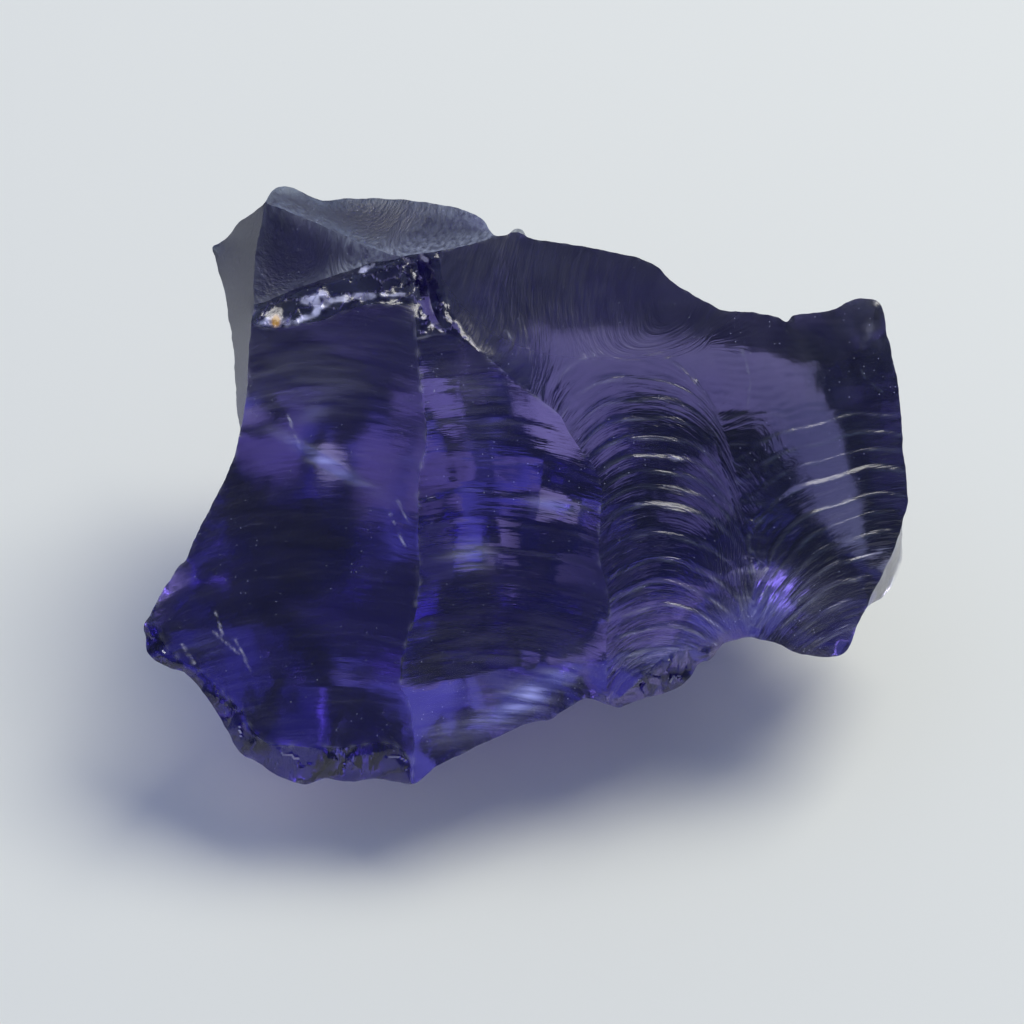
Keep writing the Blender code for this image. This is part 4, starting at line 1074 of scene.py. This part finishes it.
def add_floor():
    """Plain pale paper just below the stone."""
    bpy.ops.mesh.primitive_plane_add(size=FLOOR_SIZE, location=(0.0, 0.0, -FLOOR_GAP))
    floor = bpy.context.object
    floor.name = "floor"
    material = bpy.data.materials.new("pale paper")
    material.use_nodes = True
    feed(material.node_tree, material.node_tree.nodes["Principled BSDF"], {
        "Base Color": PAPER_COLOUR, "Roughness": 0.9, "Specular IOR Level": 0.1})
    floor.data.materials.append(material)


def add_camera(shift):
    """The camera looks straight down on the slanting face."""
    data = bpy.data.cameras.new("camera")
    data.sensor_width = SENSOR_WIDTH
    data.lens = SENSOR_WIDTH * EYE_DISTANCE / PICTURE_WIDTH
    data.clip_start = 0.01
    camera = add_object("camera", data)
    right, up, out = Vector((1, 0, 0)), Vector((0, SINE, COSINE)), Vector((0, -COSINE, SINE))
    target = Vector(stand_up([EYE_AIM])[0] + shift)
    turn = Matrix((right, up, out)).transposed().to_4x4()
    camera.matrix_world = Matrix.Translation(target + out * EYE_DISTANCE) @ turn
    bpy.context.scene.camera = camera


KEY_AZIMUTH = math.radians(46.0)  # 0 is straight behind the stone
KEY_ELEVATION = math.radians(56.0)
KEY_DISTANCE = 0.5
KEY_SIZE = (0.3, 0.28)
KEY_POWER = 2.05
KEY_TINT = (1.0, 0.975, 0.92)
STONE_MIDDLE = Vector((0.0, 0.0, 0.008))


def add_key_light():
    """A rectangular softbox that looks at the stone."""
    data = bpy.data.lights.new("key", "AREA")
    data.shape = "RECTANGLE"
    data.size, data.size_y = KEY_SIZE
    data.energy = KEY_POWER
    data.color = KEY_TINT
    lamp = add_object("key", data)
    level = math.cos(KEY_ELEVATION)
    north, east = math.cos(KEY_AZIMUTH) * level, math.sin(KEY_AZIMUTH) * level
    way = Vector((east, north, math.sin(KEY_ELEVATION)))
    lamp.location = way * KEY_DISTANCE + STONE_MIDDLE
    lamp.rotation_euler = way.to_track_quat("Z", "Y").to_euler()


# brightness of the room, by degrees from the camera's side over the top to the far side
SKY = [(0, 0.22), (60, 0.15), (80, 0.37), (120, 0.41), (180, 0.58)]
SKY_TINT = (0.8, 0.94, 1.66)
LIGHT_BOUNCES = 16  # enough for light that turns inside the stone


def add_world():
    """Soft light that grows from the camera's side over the top to the far side."""
    world = bpy.data.worlds.new("studio")
    world.use_nodes = True
    bpy.context.scene.world = world
    tree = world.node_tree
    way = add_node(tree, "SeparateXYZ", {0: add_node(tree, "TexCoord", {})["Generated"]})
    toward = maths(tree, "MULTIPLY", way["Y"], -1.0)
    angle = maths(tree, "ARCTAN2", maths(tree, "ABSOLUTE", way["Z"]), toward)
    ramp = tree.nodes.new("ShaderNodeValToRGB")
    feed(tree, ramp, {"Fac": maths(tree, "DIVIDE", angle, math.pi)})
    stops = ramp.color_ramp.elements
    for degrees, _ in SKY[1:-1]:
        stops.new(degrees / 180.0)
    for stop, (degrees, level) in zip(stops, SKY):
        stop.position = degrees / 180.0
        stop.color = (*(level * part for part in SKY_TINT), 1.0)
    feed(tree, tree.nodes["Background"], {"Color": ramp.outputs["Color"]})


def set_view():
    """Plain colours, and the number of bounces."""
    scene = bpy.context.scene
    scene.view_settings.view_transform = "Standard"
    scene.cycles.max_bounces = LIGHT_BOUNCES
    scene.cycles.transmission_bounces = LIGHT_BOUNCES


def main():
    stone, shift = add_stone()
    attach(stone, "root")
    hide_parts(NODE_NAME)
    add_floor()
    add_camera(shift)
    add_key_light()
    add_world()
    set_view()


main()
